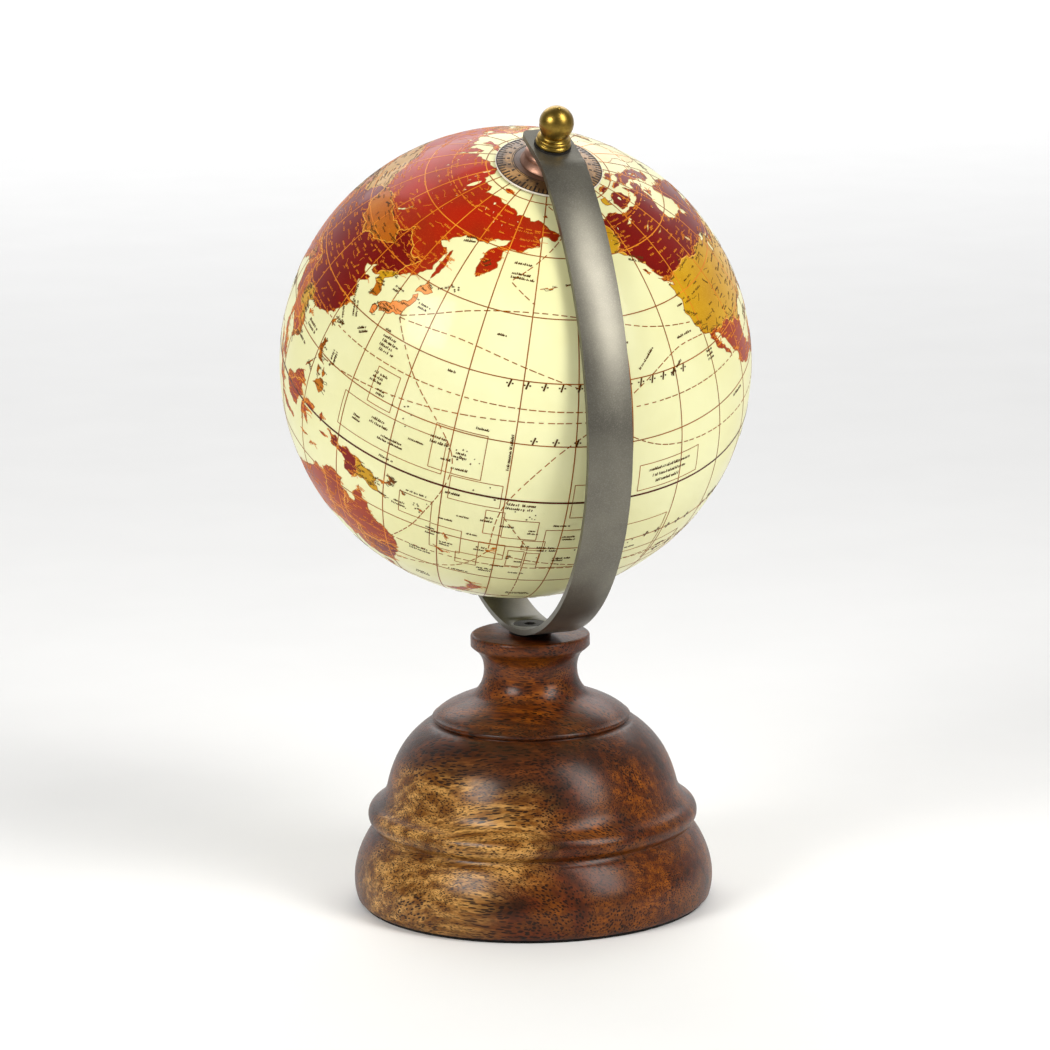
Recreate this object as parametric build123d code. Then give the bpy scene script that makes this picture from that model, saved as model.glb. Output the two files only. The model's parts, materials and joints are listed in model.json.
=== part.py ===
from build123d import *
import math
import os

# Desktop globe on a turned wooden stand. Millimetres, +Z up.
# The origin is the centre of the base where it rests. The meridian arm lies in the XZ plane,
# opens towards -X, and the globe's north pole leans towards +X.

# ---------------------------------------------------------------- driving dimensions
GLOBE_R = 63.5            # five-inch globe
SHELL_T = 1.5             # wall of each half shell
AXIS_TILT = 26.2          # degrees between the globe's axis and the vertical
NORTH_SEAT = 69.2         # globe centre to the outer face of the arm's north end

BASE_H = 73.7             # top of the turned base, pad included
PAD_T = 0.9
PAD_R = 46.6
BOLT_HOLE_R = 2.75
COUNTERBORE_R = 10.0
COUNTERBORE_TOP = 14.0

ARM_W = 12.2
ARM_T = 1.5
LOWER_R, LOWER_TURN = 61.9, 95.5     # outer radius and turn of the arc that stands on the base
FRONT_R, FRONT_TURN = 95.2, 42.0     # flatter arc along the front of the globe
UPPER_R = 12.0                       # tight bend that levels the north end
FLAT_RUN = 6.8                       # flat before the north hole
TAIL_RUN = 7.8                       # flat past each hole
TAIL_CORNER_R = 1.9
AXLE_HOLE_R = 2.15

SPACER_T, SPACER_R = 1.0, 5.6        # washer between the base and the arm

AXLE_R = 2.0
RUNNING_GAP = 0.05                   # radial, in every bore that turns on the axle
THREAD_GAP = 0.03                    # radial, between a thread and its nut

BOLT_R = 2.5
BOLT_LENGTH = 70.0
BOLT_HEAD_R = 4.5
BOLT_NUT_H, BOLT_NUT_AF = 4.0, 8.0
WASHER_T, WASHER_R = 1.0, 8.0
LOCK_WASHER_T, LOCK_WASHER_R = 1.2, 4.4

BUSHING_R = 4.45
BUSHING_FLANGE_R = 7.0
SOUTH_PROUD = 0.45                   # how far the south bushing stands out of the globe
EQUATOR_RING_H = 12.0
EQUATOR_RING_T = 1.0

DIAL_R = 14.2
DIAL_GAP = 0.3                       # between the globe and the dial
DIAL_T = 0.5
FERRULE_GAP = 0.12                   # between the dial and the ferrule's rim
FERRULE_WALL = 0.6

JAM_NUT_H, JAM_NUT_AF = 2.2, 7.0
SEAT_WASHER_T, SEAT_WASHER_R = 0.4, 4.9
FRICTION_WASHER_T, FRICTION_WASHER_R = 0.6, 5.0
SOUTH_SPACER_R = 4.2

# ---------------------------------------------------------------- arm line and globe axis
ARM_Z = BASE_H + SPACER_T
NORTH_TURN = 180.0 - AXIS_TILT
LEAN = math.radians(AXIS_TILT)
POLE = Vector(math.sin(LEAN), 0, math.cos(LEAN))
TOWARDS_TAIL = Vector(-math.cos(LEAN), 0, math.sin(LEAN))   # along the arm past the north hole


def down_turned(angle):
    """Unit vector that is straight down at 0 degrees and turns towards +X."""
    a = math.radians(angle)
    return Vector(math.sin(a), 0, -math.cos(a))


LOWER_C = Vector(0, 0, ARM_Z + LOWER_R)
FRONT_C = LOWER_C + down_turned(LOWER_TURN) * (LOWER_R - FRONT_R)
UPPER_C = FRONT_C + down_turned(LOWER_TURN + FRONT_TURN) * (FRONT_R - UPPER_R)
NORTH_HOLE = UPPER_C + down_turned(NORTH_TURN) * UPPER_R + TOWARDS_TAIL * FLAT_RUN
GLOBE_C = NORTH_HOLE - POLE * NORTH_SEAT
LOWER_END = LOWER_C + down_turned(-AXIS_TILT) * LOWER_R
SOUTH_SEAT = -(LOWER_END - GLOBE_C).dot(POLE)     # globe centre to the arm's south outer face
SOUTH_HOLE = GLOBE_C - POLE * SOUTH_SEAT

NORTH_INNER = NORTH_SEAT - ARM_T
SOUTH_INNER = SOUTH_SEAT - ARM_T
AXIS_FRAME = Plane(origin=GLOBE_C, x_dir=(math.cos(LEAN), 0, -math.sin(LEAN)), z_dir=POLE)


# ---------------------------------------------------------------- helpers
def cylinder(radius, low, high):
    """Cylinder about Z between two heights."""
    return Pos(0, 0, (low + high) / 2) * Cylinder(radius, high - low)


def ring(outer, inner, low, high):
    return cylinder(outer, low, high) - cylinder(inner, low - 1, high + 1)


def cone(low_radius, high_radius, low, high):
    """Cone about Z between two heights."""
    return Pos(0, 0, (low + high) / 2) * Cone(low_radius, high_radius, high - low)


def turned(*edges):
    """Solid of revolution about Z. The edges run from the bottom of the outline to its top."""
    wire = Wire(list(edges))
    bottom = wire @ 0
    top = wire @ 1
    close = Polyline(tuple(top), (0, 0, top.Z), (0, 0, bottom.Z), tuple(bottom))
    return revolve(make_face(Wire(list(edges) + close.edges())), Axis.Z)


def rz(*points):
    """(radius, height) pairs as points of the XZ plane."""
    return [(r, 0, z) for r, z in points]


def line(*points):
    return Polyline(*rz(*points)).edges()


def arc(start, middle, end):
    return ThreePointArc(*rz(start, middle, end)).edges()


def smooth(*points):
    return Spline(*rz(*points)).edges()


def hex_nut(across_flats, bore, low, high):
    """Hexagon nut about Z with its corners turned off at both faces."""
    corner = across_flats / math.sqrt(3)
    body = extrude(Pos(0, 0, low) * RegularPolygon(corner, 6), high - low)
    bevel = corner - across_flats / 2
    height = high - low
    barrel = (
        cone(corner - bevel, corner + height - bevel, low, high)
        & cone(corner + height - bevel, corner - bevel, low, high)
    )
    return (body & barrel) - cylinder(bore, low - 1, high + 1)


def on_axis(shape):
    """Moves a shape made about Z, with the globe's centre at 0, onto the tilted axis."""
    return AXIS_FRAME.location * shape


def flipped(shape):
    """Turns a shape made for the north end round to the south end."""
    return Rot(180, 0, 0) * shape


# ---------------------------------------------------------------- stand
def make_base_body():
    bulge = line((47.3, PAD_T), (48.0, PAD_T + 0.7)) + smooth(
        (48.0, PAD_T + 0.7), (48.75, 6.5), (47.6, 13.0), (44.2, 19.6)
    )
    lower_quirk = line((44.2, 19.6), (42.8, 20.5), (42.9, 21.1))
    torus = arc((42.9, 21.1), (44.7, 24.4), (43.0, 27.3)) + arc((43.0, 27.3), (40.8, 29.2), (39.5, 31.7))
    dome = smooth((39.5, 31.7), (38.0, 36.8), (35.3, 42.2), (31.0, 47.1), (27.7, 49.6))
    upper_quirk = line((27.7, 49.6), (26.2, 49.7), (26.3, 50.0))
    lip = arc((26.3, 50.0), (26.9, 50.7), (26.4, 51.5))
    cushion = smooth((26.4, 51.5), (24.6, 53.0), (21.2, 54.9), (16.2, 56.9))
    neck = smooth((16.2, 56.9), (13.6, 59.8), (12.65, 63.6), (13.5, 67.8), (15.5, 69.9))
    rim = line((15.5, 69.9), (16.15, 70.5), (16.15, BASE_H - 0.8)) + arc(
        (16.15, BASE_H - 0.8), (15.92, BASE_H - 0.23), (15.35, BASE_H)
    )
    body = turned(*bulge, *lower_quirk, *torus, *dome, *upper_quirk, *lip, *cushion, *neck, *rim)
    body -= cylinder(BOLT_HOLE_R, PAD_T - 1, BASE_H + 1)
    return body - cylinder(COUNTERBORE_R, PAD_T - 1, COUNTERBORE_TOP)


def make_base_pad():
    return cylinder(PAD_R, 0, PAD_T)


def make_arm_spacer():
    sink = cone(BOLT_R + 0.05, BOLT_R + 0.6, ARM_Z - 0.55, ARM_Z)
    return ring(SPACER_R, BOLT_R + 0.05, BASE_H, ARM_Z) - sink


def arm_edges(depth):
    """Edges of the arm's outline at a depth below its outer face, from the south tail to the north."""
    lift = POLE * depth
    south_tail = SOUTH_HOLE + lift + TOWARDS_TAIL * TAIL_RUN
    north_tail = NORTH_HOLE - lift + TOWARDS_TAIL * TAIL_RUN
    spans = [
        (LOWER_C, LOWER_R, -AXIS_TILT, LOWER_TURN),
        (FRONT_C, FRONT_R, LOWER_TURN, LOWER_TURN + FRONT_TURN),
        (UPPER_C, UPPER_R, LOWER_TURN + FRONT_TURN, NORTH_TURN),
    ]
    edges = []
    for centre, radius, start, end in spans:
        stops = [centre + down_turned(a) * (radius - depth) for a in (start, (start + end) / 2, end)]
        edges.append(ThreePointArc(*stops).edge())
    first = Line(south_tail, edges[0] @ 0).edge()
    last = Line(edges[-1] @ 1, north_tail).edge()
    return [first, *edges, last], south_tail, north_tail


def make_meridian_arm():
    outer, south_outer, north_outer = arm_edges(0)
    inner, south_inner, north_inner = arm_edges(ARM_T)
    ends = [Line(south_outer, south_inner).edge(), Line(north_outer, north_inner).edge()]
    strip = extrude(make_face(Wire(outer + inner + ends)), ARM_W / 2, (0, 1, 0), both=True)
    corners = [
        e for e in strip.edges().filter_by(GeomType.LINE)
        if abs(e.length - ARM_T) < 0.01 and abs((e @ 0).Y) > ARM_W / 2 - 0.01
    ]
    strip = fillet(corners, TAIL_CORNER_R)
    reach = NORTH_SEAT + SOUTH_SEAT
    strip -= on_axis(cylinder(AXLE_HOLE_R, -reach, reach))
    sink = cone(BOLT_R + 0.6, BOLT_R + 0.6 + ARM_T + 1, ARM_Z, ARM_Z + ARM_T + 1)
    return strip - sink - cylinder(BOLT_R + 0.6, ARM_Z - 1, ARM_Z + 0.1)


def make_base_bolt():
    top = ARM_Z + ARM_T
    head_h = BOLT_HEAD_R - BOLT_R
    bolt = cylinder(BOLT_R, top - BOLT_LENGTH, top - head_h) + cone(BOLT_R, BOLT_HEAD_R, top - head_h, top)
    socket = extrude(Pos(0, 0, top - 1.4) * RegularPolygon(1.7, 6), 2)
    return bolt - socket


def make_base_washer():
    return ring(WASHER_R, BOLT_R + 0.15, COUNTERBORE_TOP - WASHER_T, COUNTERBORE_TOP)


def make_base_lock_washer():
    """Split spring washer."""
    high = COUNTERBORE_TOP - WASHER_T
    washer = ring(LOCK_WASHER_R, BOLT_R + 0.1, high - LOCK_WASHER_T, high)
    split = Pos(LOCK_WASHER_R, 0, high) * Rot(20, 0, 0) * Box(2 * LOCK_WASHER_R, 0.4, 4 * LOCK_WASHER_T)
    return washer - split


def make_base_nut():
    high = COUNTERBORE_TOP - WASHER_T - LOCK_WASHER_T
    return hex_nut(BOLT_NUT_AF, BOLT_R + THREAD_GAP, high - BOLT_NUT_H, high)


# ---------------------------------------------------------------- axle and its ends
FINIAL_SEAT = NORTH_SEAT + SEAT_WASHER_T
CAP_SEAT = SOUTH_SEAT + SEAT_WASHER_T
FINIAL_BORE_DEPTH = 6.4
CAP_BORE_DEPTH = 4.6


def make_axle_rod():
    low = -(CAP_SEAT + CAP_BORE_DEPTH - 0.4)
    high = FINIAL_SEAT + FINIAL_BORE_DEPTH - 0.4
    rod = cylinder(AXLE_R, low, high)
    return on_axis(chamfer(rod.edges().filter_by(GeomType.CIRCLE), 0.35))


def make_north_jam_nut():
    high = NORTH_INNER - FERRULE_WALL
    return on_axis(hex_nut(JAM_NUT_AF, AXLE_R + THREAD_GAP, high - JAM_NUT_H, high))


def make_north_ferrule():
    """Spun cup that hides the jam nut, between the arm and the time dial."""
    rim_r = 7.9
    dial_top = GLOBE_R + DIAL_GAP + DIAL_T
    rim = math.sqrt(dial_top**2 - rim_r**2) + FERRULE_GAP
    outside = turned(
        *arc((rim_r, rim), (7.35, rim + 1.0), (6.95, rim + 2.1)),
        *arc((6.95, rim + 2.1), (6.75, NORTH_INNER - 0.5), (6.1, NORTH_INNER)),
    )
    inside_top = NORTH_INNER - FERRULE_WALL
    inside = turned(
        *line((rim_r - FERRULE_WALL, rim - 1), (rim_r - FERRULE_WALL, rim)),
        *arc((rim_r - FERRULE_WALL, rim), (6.75, rim + 1.0), (6.35, rim + 2.1)),
        *line((6.35, rim + 2.1), (5.9, inside_top)),
    )
    return on_axis(outside - inside - cylinder(AXLE_HOLE_R, inside_top - 1, NORTH_INNER + 1))


def make_finial_washers():
    """Thin fibre washers under the two knobs."""
    north = ring(SEAT_WASHER_R, AXLE_R + 0.1, NORTH_SEAT, FINIAL_SEAT)
    south = ring(SEAT_WASHER_R, AXLE_R + 0.1, SOUTH_SEAT, CAP_SEAT)
    return on_axis(Compound(children=[north, flipped(south)]))


def make_north_finial():
    """Turned brass knob: a double bead, a short neck and an egg-shaped ball with a lathe centre."""
    ball_r, ball_h = 4.55, 6.55
    shape = turned(
        *arc((4.35, 0), (4.7, 0.6), (4.35, 1.15)),
        *line((4.35, 1.15), (4.15, 1.3)),
        *arc((4.15, 1.3), (4.5, 1.8), (4.1, 2.3)),
        *arc((4.1, 2.3), (3.6, 2.55), (3.4, 3.0)),
        *smooth((3.4, 3.0), (4.1, 4.3), (ball_r, ball_h)),
        *arc(
            (ball_r, ball_h),
            (ball_r * math.cos(math.radians(42)), ball_h + ball_r * math.sin(math.radians(42))),
            (0.5, ball_h + ball_r - 0.03),
        ),
        *line((0.5, ball_h + ball_r - 0.03), (0.4, ball_h + ball_r + 0.15)),
    )
    knob = shape - cylinder(AXLE_R + THREAD_GAP, -1, FINIAL_BORE_DEPTH)
    return on_axis(Pos(0, 0, FINIAL_SEAT) * knob)


def make_south_finial():
    """Small brass cap nut under the south end."""
    shape = turned(
        *arc((4.2, 0), (4.45, 0.55), (4.1, 1.1)),
        *arc((4.1, 1.1), (3.6, 1.3), (3.45, 1.8)),
        *arc((3.45, 1.8), (3.3, 5.0), (0.6, 6.9)),
    )
    knob = shape - cylinder(AXLE_R + THREAD_GAP, -1, CAP_BORE_DEPTH)
    return on_axis(flipped(Pos(0, 0, CAP_SEAT) * knob))


def make_south_spacer():
    """Steel collar on the axle that the arm's south end is clamped against."""
    low = GLOBE_R + SOUTH_PROUD + RUNNING_GAP + FRICTION_WASHER_T
    return on_axis(flipped(ring(SOUTH_SPACER_R, AXLE_R + THREAD_GAP, low, SOUTH_INNER)))


def make_south_friction_washer():
    """Nylon washer that the globe's south bushing turns on."""
    low = GLOBE_R + SOUTH_PROUD + RUNNING_GAP
    return on_axis(flipped(ring(FRICTION_WASHER_R, AXLE_R + 0.1, low, low + FRICTION_WASHER_T)))


# ---------------------------------------------------------------- globe and dial
def make_half_shell():
    """Northern half of the hollow globe, open at the pole for its bushing."""
    shell = Sphere(GLOBE_R) - Sphere(GLOBE_R - SHELL_T)
    shell = split(shell, Plane.XY, keep=Keep.TOP)
    return shell - cylinder(BUSHING_R, 0, GLOBE_R + 1)


def make_bushing(proud):
    """Moulded hub with its flange inside the shell, bored for the axle."""
    inside = math.sqrt((GLOBE_R - SHELL_T) ** 2 - BUSHING_FLANGE_R**2) - 0.1
    hub = cylinder(BUSHING_FLANGE_R, inside - 1.4, inside) + cylinder(BUSHING_R, inside, GLOBE_R + proud)
    return hub - cylinder(AXLE_R + RUNNING_GAP, 0, GLOBE_R + 2)


def make_equator_ring():
    """Joining band glued inside the two half shells."""
    outer = GLOBE_R - SHELL_T - 0.05
    band = Sphere(outer) - Sphere(outer - EQUATOR_RING_T)
    return on_axis(band & Cylinder(GLOBE_R, EQUATOR_RING_H))


def make_time_dial():
    """Domed disc that follows the globe and turns on the axle by hand."""
    low = GLOBE_R + DIAL_GAP
    dome = Sphere(low + DIAL_T) - Sphere(low)
    blank = ring(DIAL_R, AXLE_R + RUNNING_GAP, 0, low + 1)
    return on_axis(dome & blank)


NODES = {
    "base_body": make_base_body(),
    "base_pad": make_base_pad(),
    "arm_spacer": make_arm_spacer(),
    "meridian_arm": make_meridian_arm(),
    "base_bolt": make_base_bolt(),
    "base_washer": make_base_washer(),
    "base_lock_washer": make_base_lock_washer(),
    "base_nut": make_base_nut(),
    "axle_rod": make_axle_rod(),
    "north_jam_nut": make_north_jam_nut(),
    "north_ferrule": make_north_ferrule(),
    "finial_washers": make_finial_washers(),
    "north_finial": make_north_finial(),
    "south_finial": make_south_finial(),
    "south_spacer": make_south_spacer(),
    "south_friction_washer": make_south_friction_washer(),
    "north_hemisphere": on_axis(make_half_shell()),
    "south_hemisphere": on_axis(flipped(make_half_shell())),
    "equator_ring": make_equator_ring(),
    "north_bushing": on_axis(make_bushing(0)),
    "south_bushing": on_axis(flipped(make_bushing(SOUTH_PROUD))),
    "time_dial": make_time_dial(),
}

os.makedirs("parts", exist_ok=True)
for name, shape in NODES.items():
    export_step(shape, f"parts/{name}.step")
print("globe centre", tuple(round(v, 3) for v in GLOBE_C), "south seat", round(SOUTH_SEAT, 3))
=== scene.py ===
"""Looks for a desktop globe: turned wood base, painted steel meridian arm and printed, lacquered ball."""

import json
import math
import random

import bpy
import numpy as np
from mathutils import Matrix, Vector
from mathutils.geometry import delaunay_2d_cdt


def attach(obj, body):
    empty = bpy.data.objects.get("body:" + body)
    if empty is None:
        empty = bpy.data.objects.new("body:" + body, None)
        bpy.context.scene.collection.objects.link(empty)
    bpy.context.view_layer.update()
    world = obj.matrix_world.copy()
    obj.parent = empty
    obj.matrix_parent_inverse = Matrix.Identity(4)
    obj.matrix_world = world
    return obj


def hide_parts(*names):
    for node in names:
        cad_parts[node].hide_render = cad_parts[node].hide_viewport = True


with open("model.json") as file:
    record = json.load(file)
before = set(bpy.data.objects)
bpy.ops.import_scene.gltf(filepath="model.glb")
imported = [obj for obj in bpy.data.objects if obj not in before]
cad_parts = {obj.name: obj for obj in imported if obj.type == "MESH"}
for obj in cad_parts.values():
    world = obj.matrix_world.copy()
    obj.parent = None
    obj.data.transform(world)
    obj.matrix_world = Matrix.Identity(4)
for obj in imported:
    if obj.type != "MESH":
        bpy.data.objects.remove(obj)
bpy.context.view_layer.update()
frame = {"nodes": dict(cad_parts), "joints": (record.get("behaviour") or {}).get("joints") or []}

MM = 0.001
SPIN = [joint for joint in frame["joints"] if joint["name"] == "globe_spin"][0]
CENTRE = Vector(SPIN["pos_m"])
POLE = Vector(SPIN["axis"]).normalized()
ACROSS = Vector((0, 1, 0))
FORWARD = ACROSS.cross(POLE).normalized()
# The longitude of the map that faces FORWARD.
LON_AT_FORWARD = 201.1
# Radii of the shell, in millimetres.
SHELL_OUTER = 63.40
SHELL_INNER = 62.05
# Radius of the hole at each pole in millimetres, half the gap between the two halves in degrees, and the
# rows and columns of each half.
POLE_HOLE = 4.5
BALL_SEAM = 0.01
BALL_ROWS = 72
BALL_COLUMNS = 240
# Inner and outer radius of each layer of ink, in millimetres.
PRINT_LAND = (63.415, 63.445)
PRINT_LINES = (63.42, 63.462)
PRINT_MARKS = (63.42, 63.475)
# Widths of the printed lines, in millimetres, and how far each stroke runs into the next.
GRID_WIDTH = 0.28
EQUATOR_WIDTH = 0.54
TROPIC_WIDTH = 0.26
ROUTE_WIDTH = 0.26
FRAME_WIDTH = 0.19
BORDER_WIDTH = 0.26
COAST_WIDTH = 0.17
OVERLAP = 0.012
ROUTE_DASH = 1.7
ROUTE_GAP = 0.8
TROPIC_DASH = 1.6
TROPIC_GAP = 0.8
# Weights of the printed marks.
LABEL_WEIGHT = 0.22
LEGEND_WEIGHT = 0.21
BANNER_WEIGHT = 0.46
LAND_WEIGHT = 0.13
RIVER_WEIGHT = 0.11
# Radii of the dial's dome, of its scale's outer and inner edge, and of the ink on it, in millimetres.
DIAL_DOME = 64.3
DIAL_SCALE_OUTER = 13.9
DIAL_SCALE_INNER = 9.5
PRINT_DIAL = (64.29, 64.34)

# ---------------------------------------------------------------- camera, lights and floor
CAMERA_PLACE = Vector((1237.22, -456.69, 371.13)) * MM
CAMERA_RIGHT = Vector((0.3483, 0.9373, -0.0140))
CAMERA_BACK = Vector((0.9196, -0.3387, 0.1990))
LENS = 171.43
SENSOR = 36.0
# name, bearing, elevation, distance, width, height, watts, tint
SOFTBOXES = (
    ("softbox_left", -46, 28, 1.1, 0.42, 0.42, 1.5, (1.0, 0.985, 0.95)),
    ("softbox_right", 51, 36, 1.1, 0.38, 1.0, 2.4, (1.0, 0.985, 0.95)),
)
# The height that both soft boxes look at, in metres, and how wide they throw their light, in degrees.
AIM_HEIGHT = 0.09
SOFTBOX_SPREAD = 80
# The surroundings are bright behind the object and dim on the camera's side: brightness, and the cosines
# of the angle from the camera's bearing between which it fades.
WORLD_BEHIND = 1.06
WORLD_FRONT = 0.14
WORLD_FADE = (-0.94, -0.15)
# A large panel over the floor behind the object keeps the background white.
SWEEP_WATTS = 105.0
SWEEP_DISTANCE = 3.4
SWEEP_HEIGHT = 2.0
SWEEP_SIZE = 4.0
FLOOR_HALF = 6.0


def add_camera():
    """The camera stands where the object's upright lines and rim ellipses say it stood."""
    data = bpy.data.cameras.new("camera")
    data.lens = LENS
    data.sensor_width = SENSOR
    data.clip_end = 20
    camera = bpy.data.objects.new("camera", data)
    bpy.context.scene.collection.objects.link(camera)
    back = CAMERA_BACK.normalized()
    right = (CAMERA_RIGHT - back * CAMERA_RIGHT.dot(back)).normalized()
    up = back.cross(right)
    turn = Matrix((right, up, back)).transposed().to_4x4()
    camera.matrix_world = Matrix.Translation(CAMERA_PLACE) @ turn
    bpy.context.scene.camera = camera


def add_softbox(name, bearing, elevation, distance, width, height, watts, tint):
    """A rectangular soft light that looks at the object. Its bearing is measured from the camera's."""
    data = bpy.data.lights.new(name, "AREA")
    data.shape = "RECTANGLE"
    data.size = width
    data.size_y = height
    data.energy = watts
    data.color = tint
    data.spread = math.radians(SOFTBOX_SPREAD)
    lamp = bpy.data.objects.new(name, data)
    bpy.context.scene.collection.objects.link(lamp)
    camera_bearing = math.atan2(CAMERA_PLACE.y, CAMERA_PLACE.x)
    angle = camera_bearing + math.radians(bearing)
    rise = math.radians(elevation)
    flat = math.cos(rise)
    away = Vector((math.cos(angle) * flat, math.sin(angle) * flat, math.sin(rise)))
    aim = Vector((0, 0, AIM_HEIGHT))
    lamp.location = aim + away * distance
    lamp.rotation_euler = away.to_track_quat("Z", "Y").to_euler()


def add_studio():
    """The surroundings, the lights and the floor."""
    world = bpy.data.worlds.new("studio")
    world.use_nodes = True
    tree = world.node_tree
    background = tree.nodes["Background"]
    background.inputs["Color"].default_value = (1.0, 1.0, 1.0, 1.0)
    direction = tree.nodes.new("ShaderNodeTexCoord")
    toward = tree.nodes.new("ShaderNodeVectorMath")
    toward.operation = "DOT_PRODUCT"
    toward.inputs[1].default_value = (CAMERA_PLACE * Vector((1, 1, 0))).normalized()
    fade = tree.nodes.new("ShaderNodeMapRange")
    fade.inputs["From Min"].default_value = WORLD_FADE[0]
    fade.inputs["From Max"].default_value = WORLD_FADE[1]
    fade.inputs["To Min"].default_value = WORLD_BEHIND
    fade.inputs["To Max"].default_value = WORLD_FRONT
    tree.links.new(direction.outputs["Generated"], toward.inputs[0])
    tree.links.new(toward.outputs["Value"], fade.inputs["Value"])
    tree.links.new(fade.outputs["Result"], background.inputs["Strength"])
    bpy.context.scene.world = world
    bpy.context.scene.view_settings.view_transform = "Standard"
    for settings in SOFTBOXES:
        add_softbox(*settings)
    sweep = bpy.data.lights.new("sweep_light", "AREA")
    sweep.size = SWEEP_SIZE
    sweep.energy = SWEEP_WATTS
    sweep_lamp = bpy.data.objects.new("sweep_light", sweep)
    bpy.context.scene.collection.objects.link(sweep_lamp)
    behind = (CAMERA_PLACE * Vector((1, 1, 0))).normalized() * -SWEEP_DISTANCE
    sweep_lamp.location = behind + Vector((0, 0, SWEEP_HEIGHT))
    floor = bpy.data.meshes.new("floor")
    corners = [(x * FLOOR_HALF, y * FLOOR_HALF, 0) for x, y in ((-1, -1), (1, -1), (1, 1), (-1, 1))]
    floor.from_pydata(corners, [], [(0, 1, 2, 3)])
    floor_object = bpy.data.objects.new("floor", floor)
    bpy.context.scene.collection.objects.link(floor_object)
    floor.materials.append(plain_floor())


# ---------------------------------------------------------------- node helpers


class Shader:
    """A Principled material, and short ways to add the nodes that feed it."""

    def __init__(self, name, **sockets):
        self.material = bpy.data.materials.new(name)
        self.material.use_nodes = True
        self.tree = self.material.node_tree
        self.surface = self.tree.nodes["Principled BSDF"]
        for key, value in sockets.items():
            self.surface.inputs[key.replace("_", " ")].default_value = value

    def add(self, kind, inputs=None, **settings):
        node = self.tree.nodes.new(kind)
        for key, value in settings.items():
            setattr(node, key, value)
        for key, value in (inputs or {}).items():
            self.plug(node.inputs[key], value)
        return node

    def plug(self, socket, value):
        if isinstance(value, bpy.types.NodeSocket):
            self.tree.links.new(value, socket)
        else:
            socket.default_value = value

    def feed(self, key, value):
        self.plug(self.surface.inputs[key], value)

    def place(self, scale=(1000, 1000, 1000), turn=(0, 0, 0)):
        """Object coordinates in millimetres, turned and then stretched."""
        coordinates = self.add("ShaderNodeTexCoord").outputs["Object"]
        turned = self.add("ShaderNodeMapping", {"Vector": coordinates, "Rotation": turn})
        stretched = self.add("ShaderNodeMapping", {"Vector": turned.outputs[0], "Scale": scale})
        return stretched.outputs[0]

    def noise(self, vector, scale, detail=3.0, roughness=0.5, distortion=0.0):
        inputs = {
            "Vector": vector,
            "Scale": scale,
            "Detail": detail,
            "Roughness": roughness,
            "Distortion": distortion,
        }
        return self.add("ShaderNodeTexNoise", inputs).outputs["Fac"]

    def voronoi(self, vector, scale, randomness=1.0, output="Distance"):
        inputs = {"Vector": vector, "Scale": scale, "Randomness": randomness}
        return self.add("ShaderNodeTexVoronoi", inputs).outputs[output]

    def ramp(self, factor, *stops):
        """stops are (position, value or colour)."""
        node = self.add("ShaderNodeValToRGB", {"Fac": factor})
        elements = node.color_ramp.elements
        while len(elements) < len(stops):
            elements.new(0.5)
        for element, (position, colour) in zip(elements, stops):
            if not isinstance(colour, tuple):
                colour = (colour, colour, colour)
            element.position = position
            element.color = (*colour, 1.0)
        return node.outputs["Color"]

    def span(self, value, low, high, start=0.0, end=1.0, smooth=True):
        """value, taken from the range low to high into the range start to end."""
        inputs = {
            "Value": value,
            "From Min": low,
            "From Max": high,
            "To Min": start,
            "To Max": end,
        }
        style = "SMOOTHSTEP" if smooth else "LINEAR"
        return self.add("ShaderNodeMapRange", inputs, interpolation_type=style).outputs["Result"]

    def math(self, operation, first, second=0.0):
        node = self.add("ShaderNodeMath", operation=operation)
        self.plug(node.inputs[0], first)
        self.plug(node.inputs[1], second)
        return node.outputs[0]

    def vector(self, operation, first, second=(0, 0, 0), output="Vector"):
        return self.add("ShaderNodeVectorMath", {0: first, 1: second}, operation=operation).outputs[output]

    def mix(self, factor, first, second):
        node = self.add("ShaderNodeMix", data_type="RGBA")
        self.plug(node.inputs["Factor"], factor)
        for key, value in (("A", first), ("B", second)):
            socket = [s for s in node.inputs if s.name == key and s.type == "RGBA"][0]
            self.plug(socket, (*value, 1.0) if isinstance(value, tuple) else value)
        return [s for s in node.outputs if s.type == "RGBA"][0]

    def bump(self, height, distance, strength=1.0):
        """distance is the height of a full step, in millimetres."""
        inputs = {"Height": height, "Distance": distance * MM, "Strength": strength}
        self.feed("Normal", self.add("ShaderNodeBump", inputs).outputs["Normal"])


def srgb(red, green, blue):
    """Linear colour from 0-255 display values."""
    linear = []
    for value in (red, green, blue):
        share = value / 255
        linear.append(share / 12.92 if share <= 0.04045 else ((share + 0.055) / 1.055) ** 2.4)
    return tuple(linear)


def plain_floor():
    shader = Shader("floor_white", Roughness=0.9)
    grain = shader.noise(shader.place(), 0.02)
    shader.feed("Base Color", shader.ramp(grain, (0.0, 0.86), (1.0, 0.90)))
    return shader.material

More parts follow.
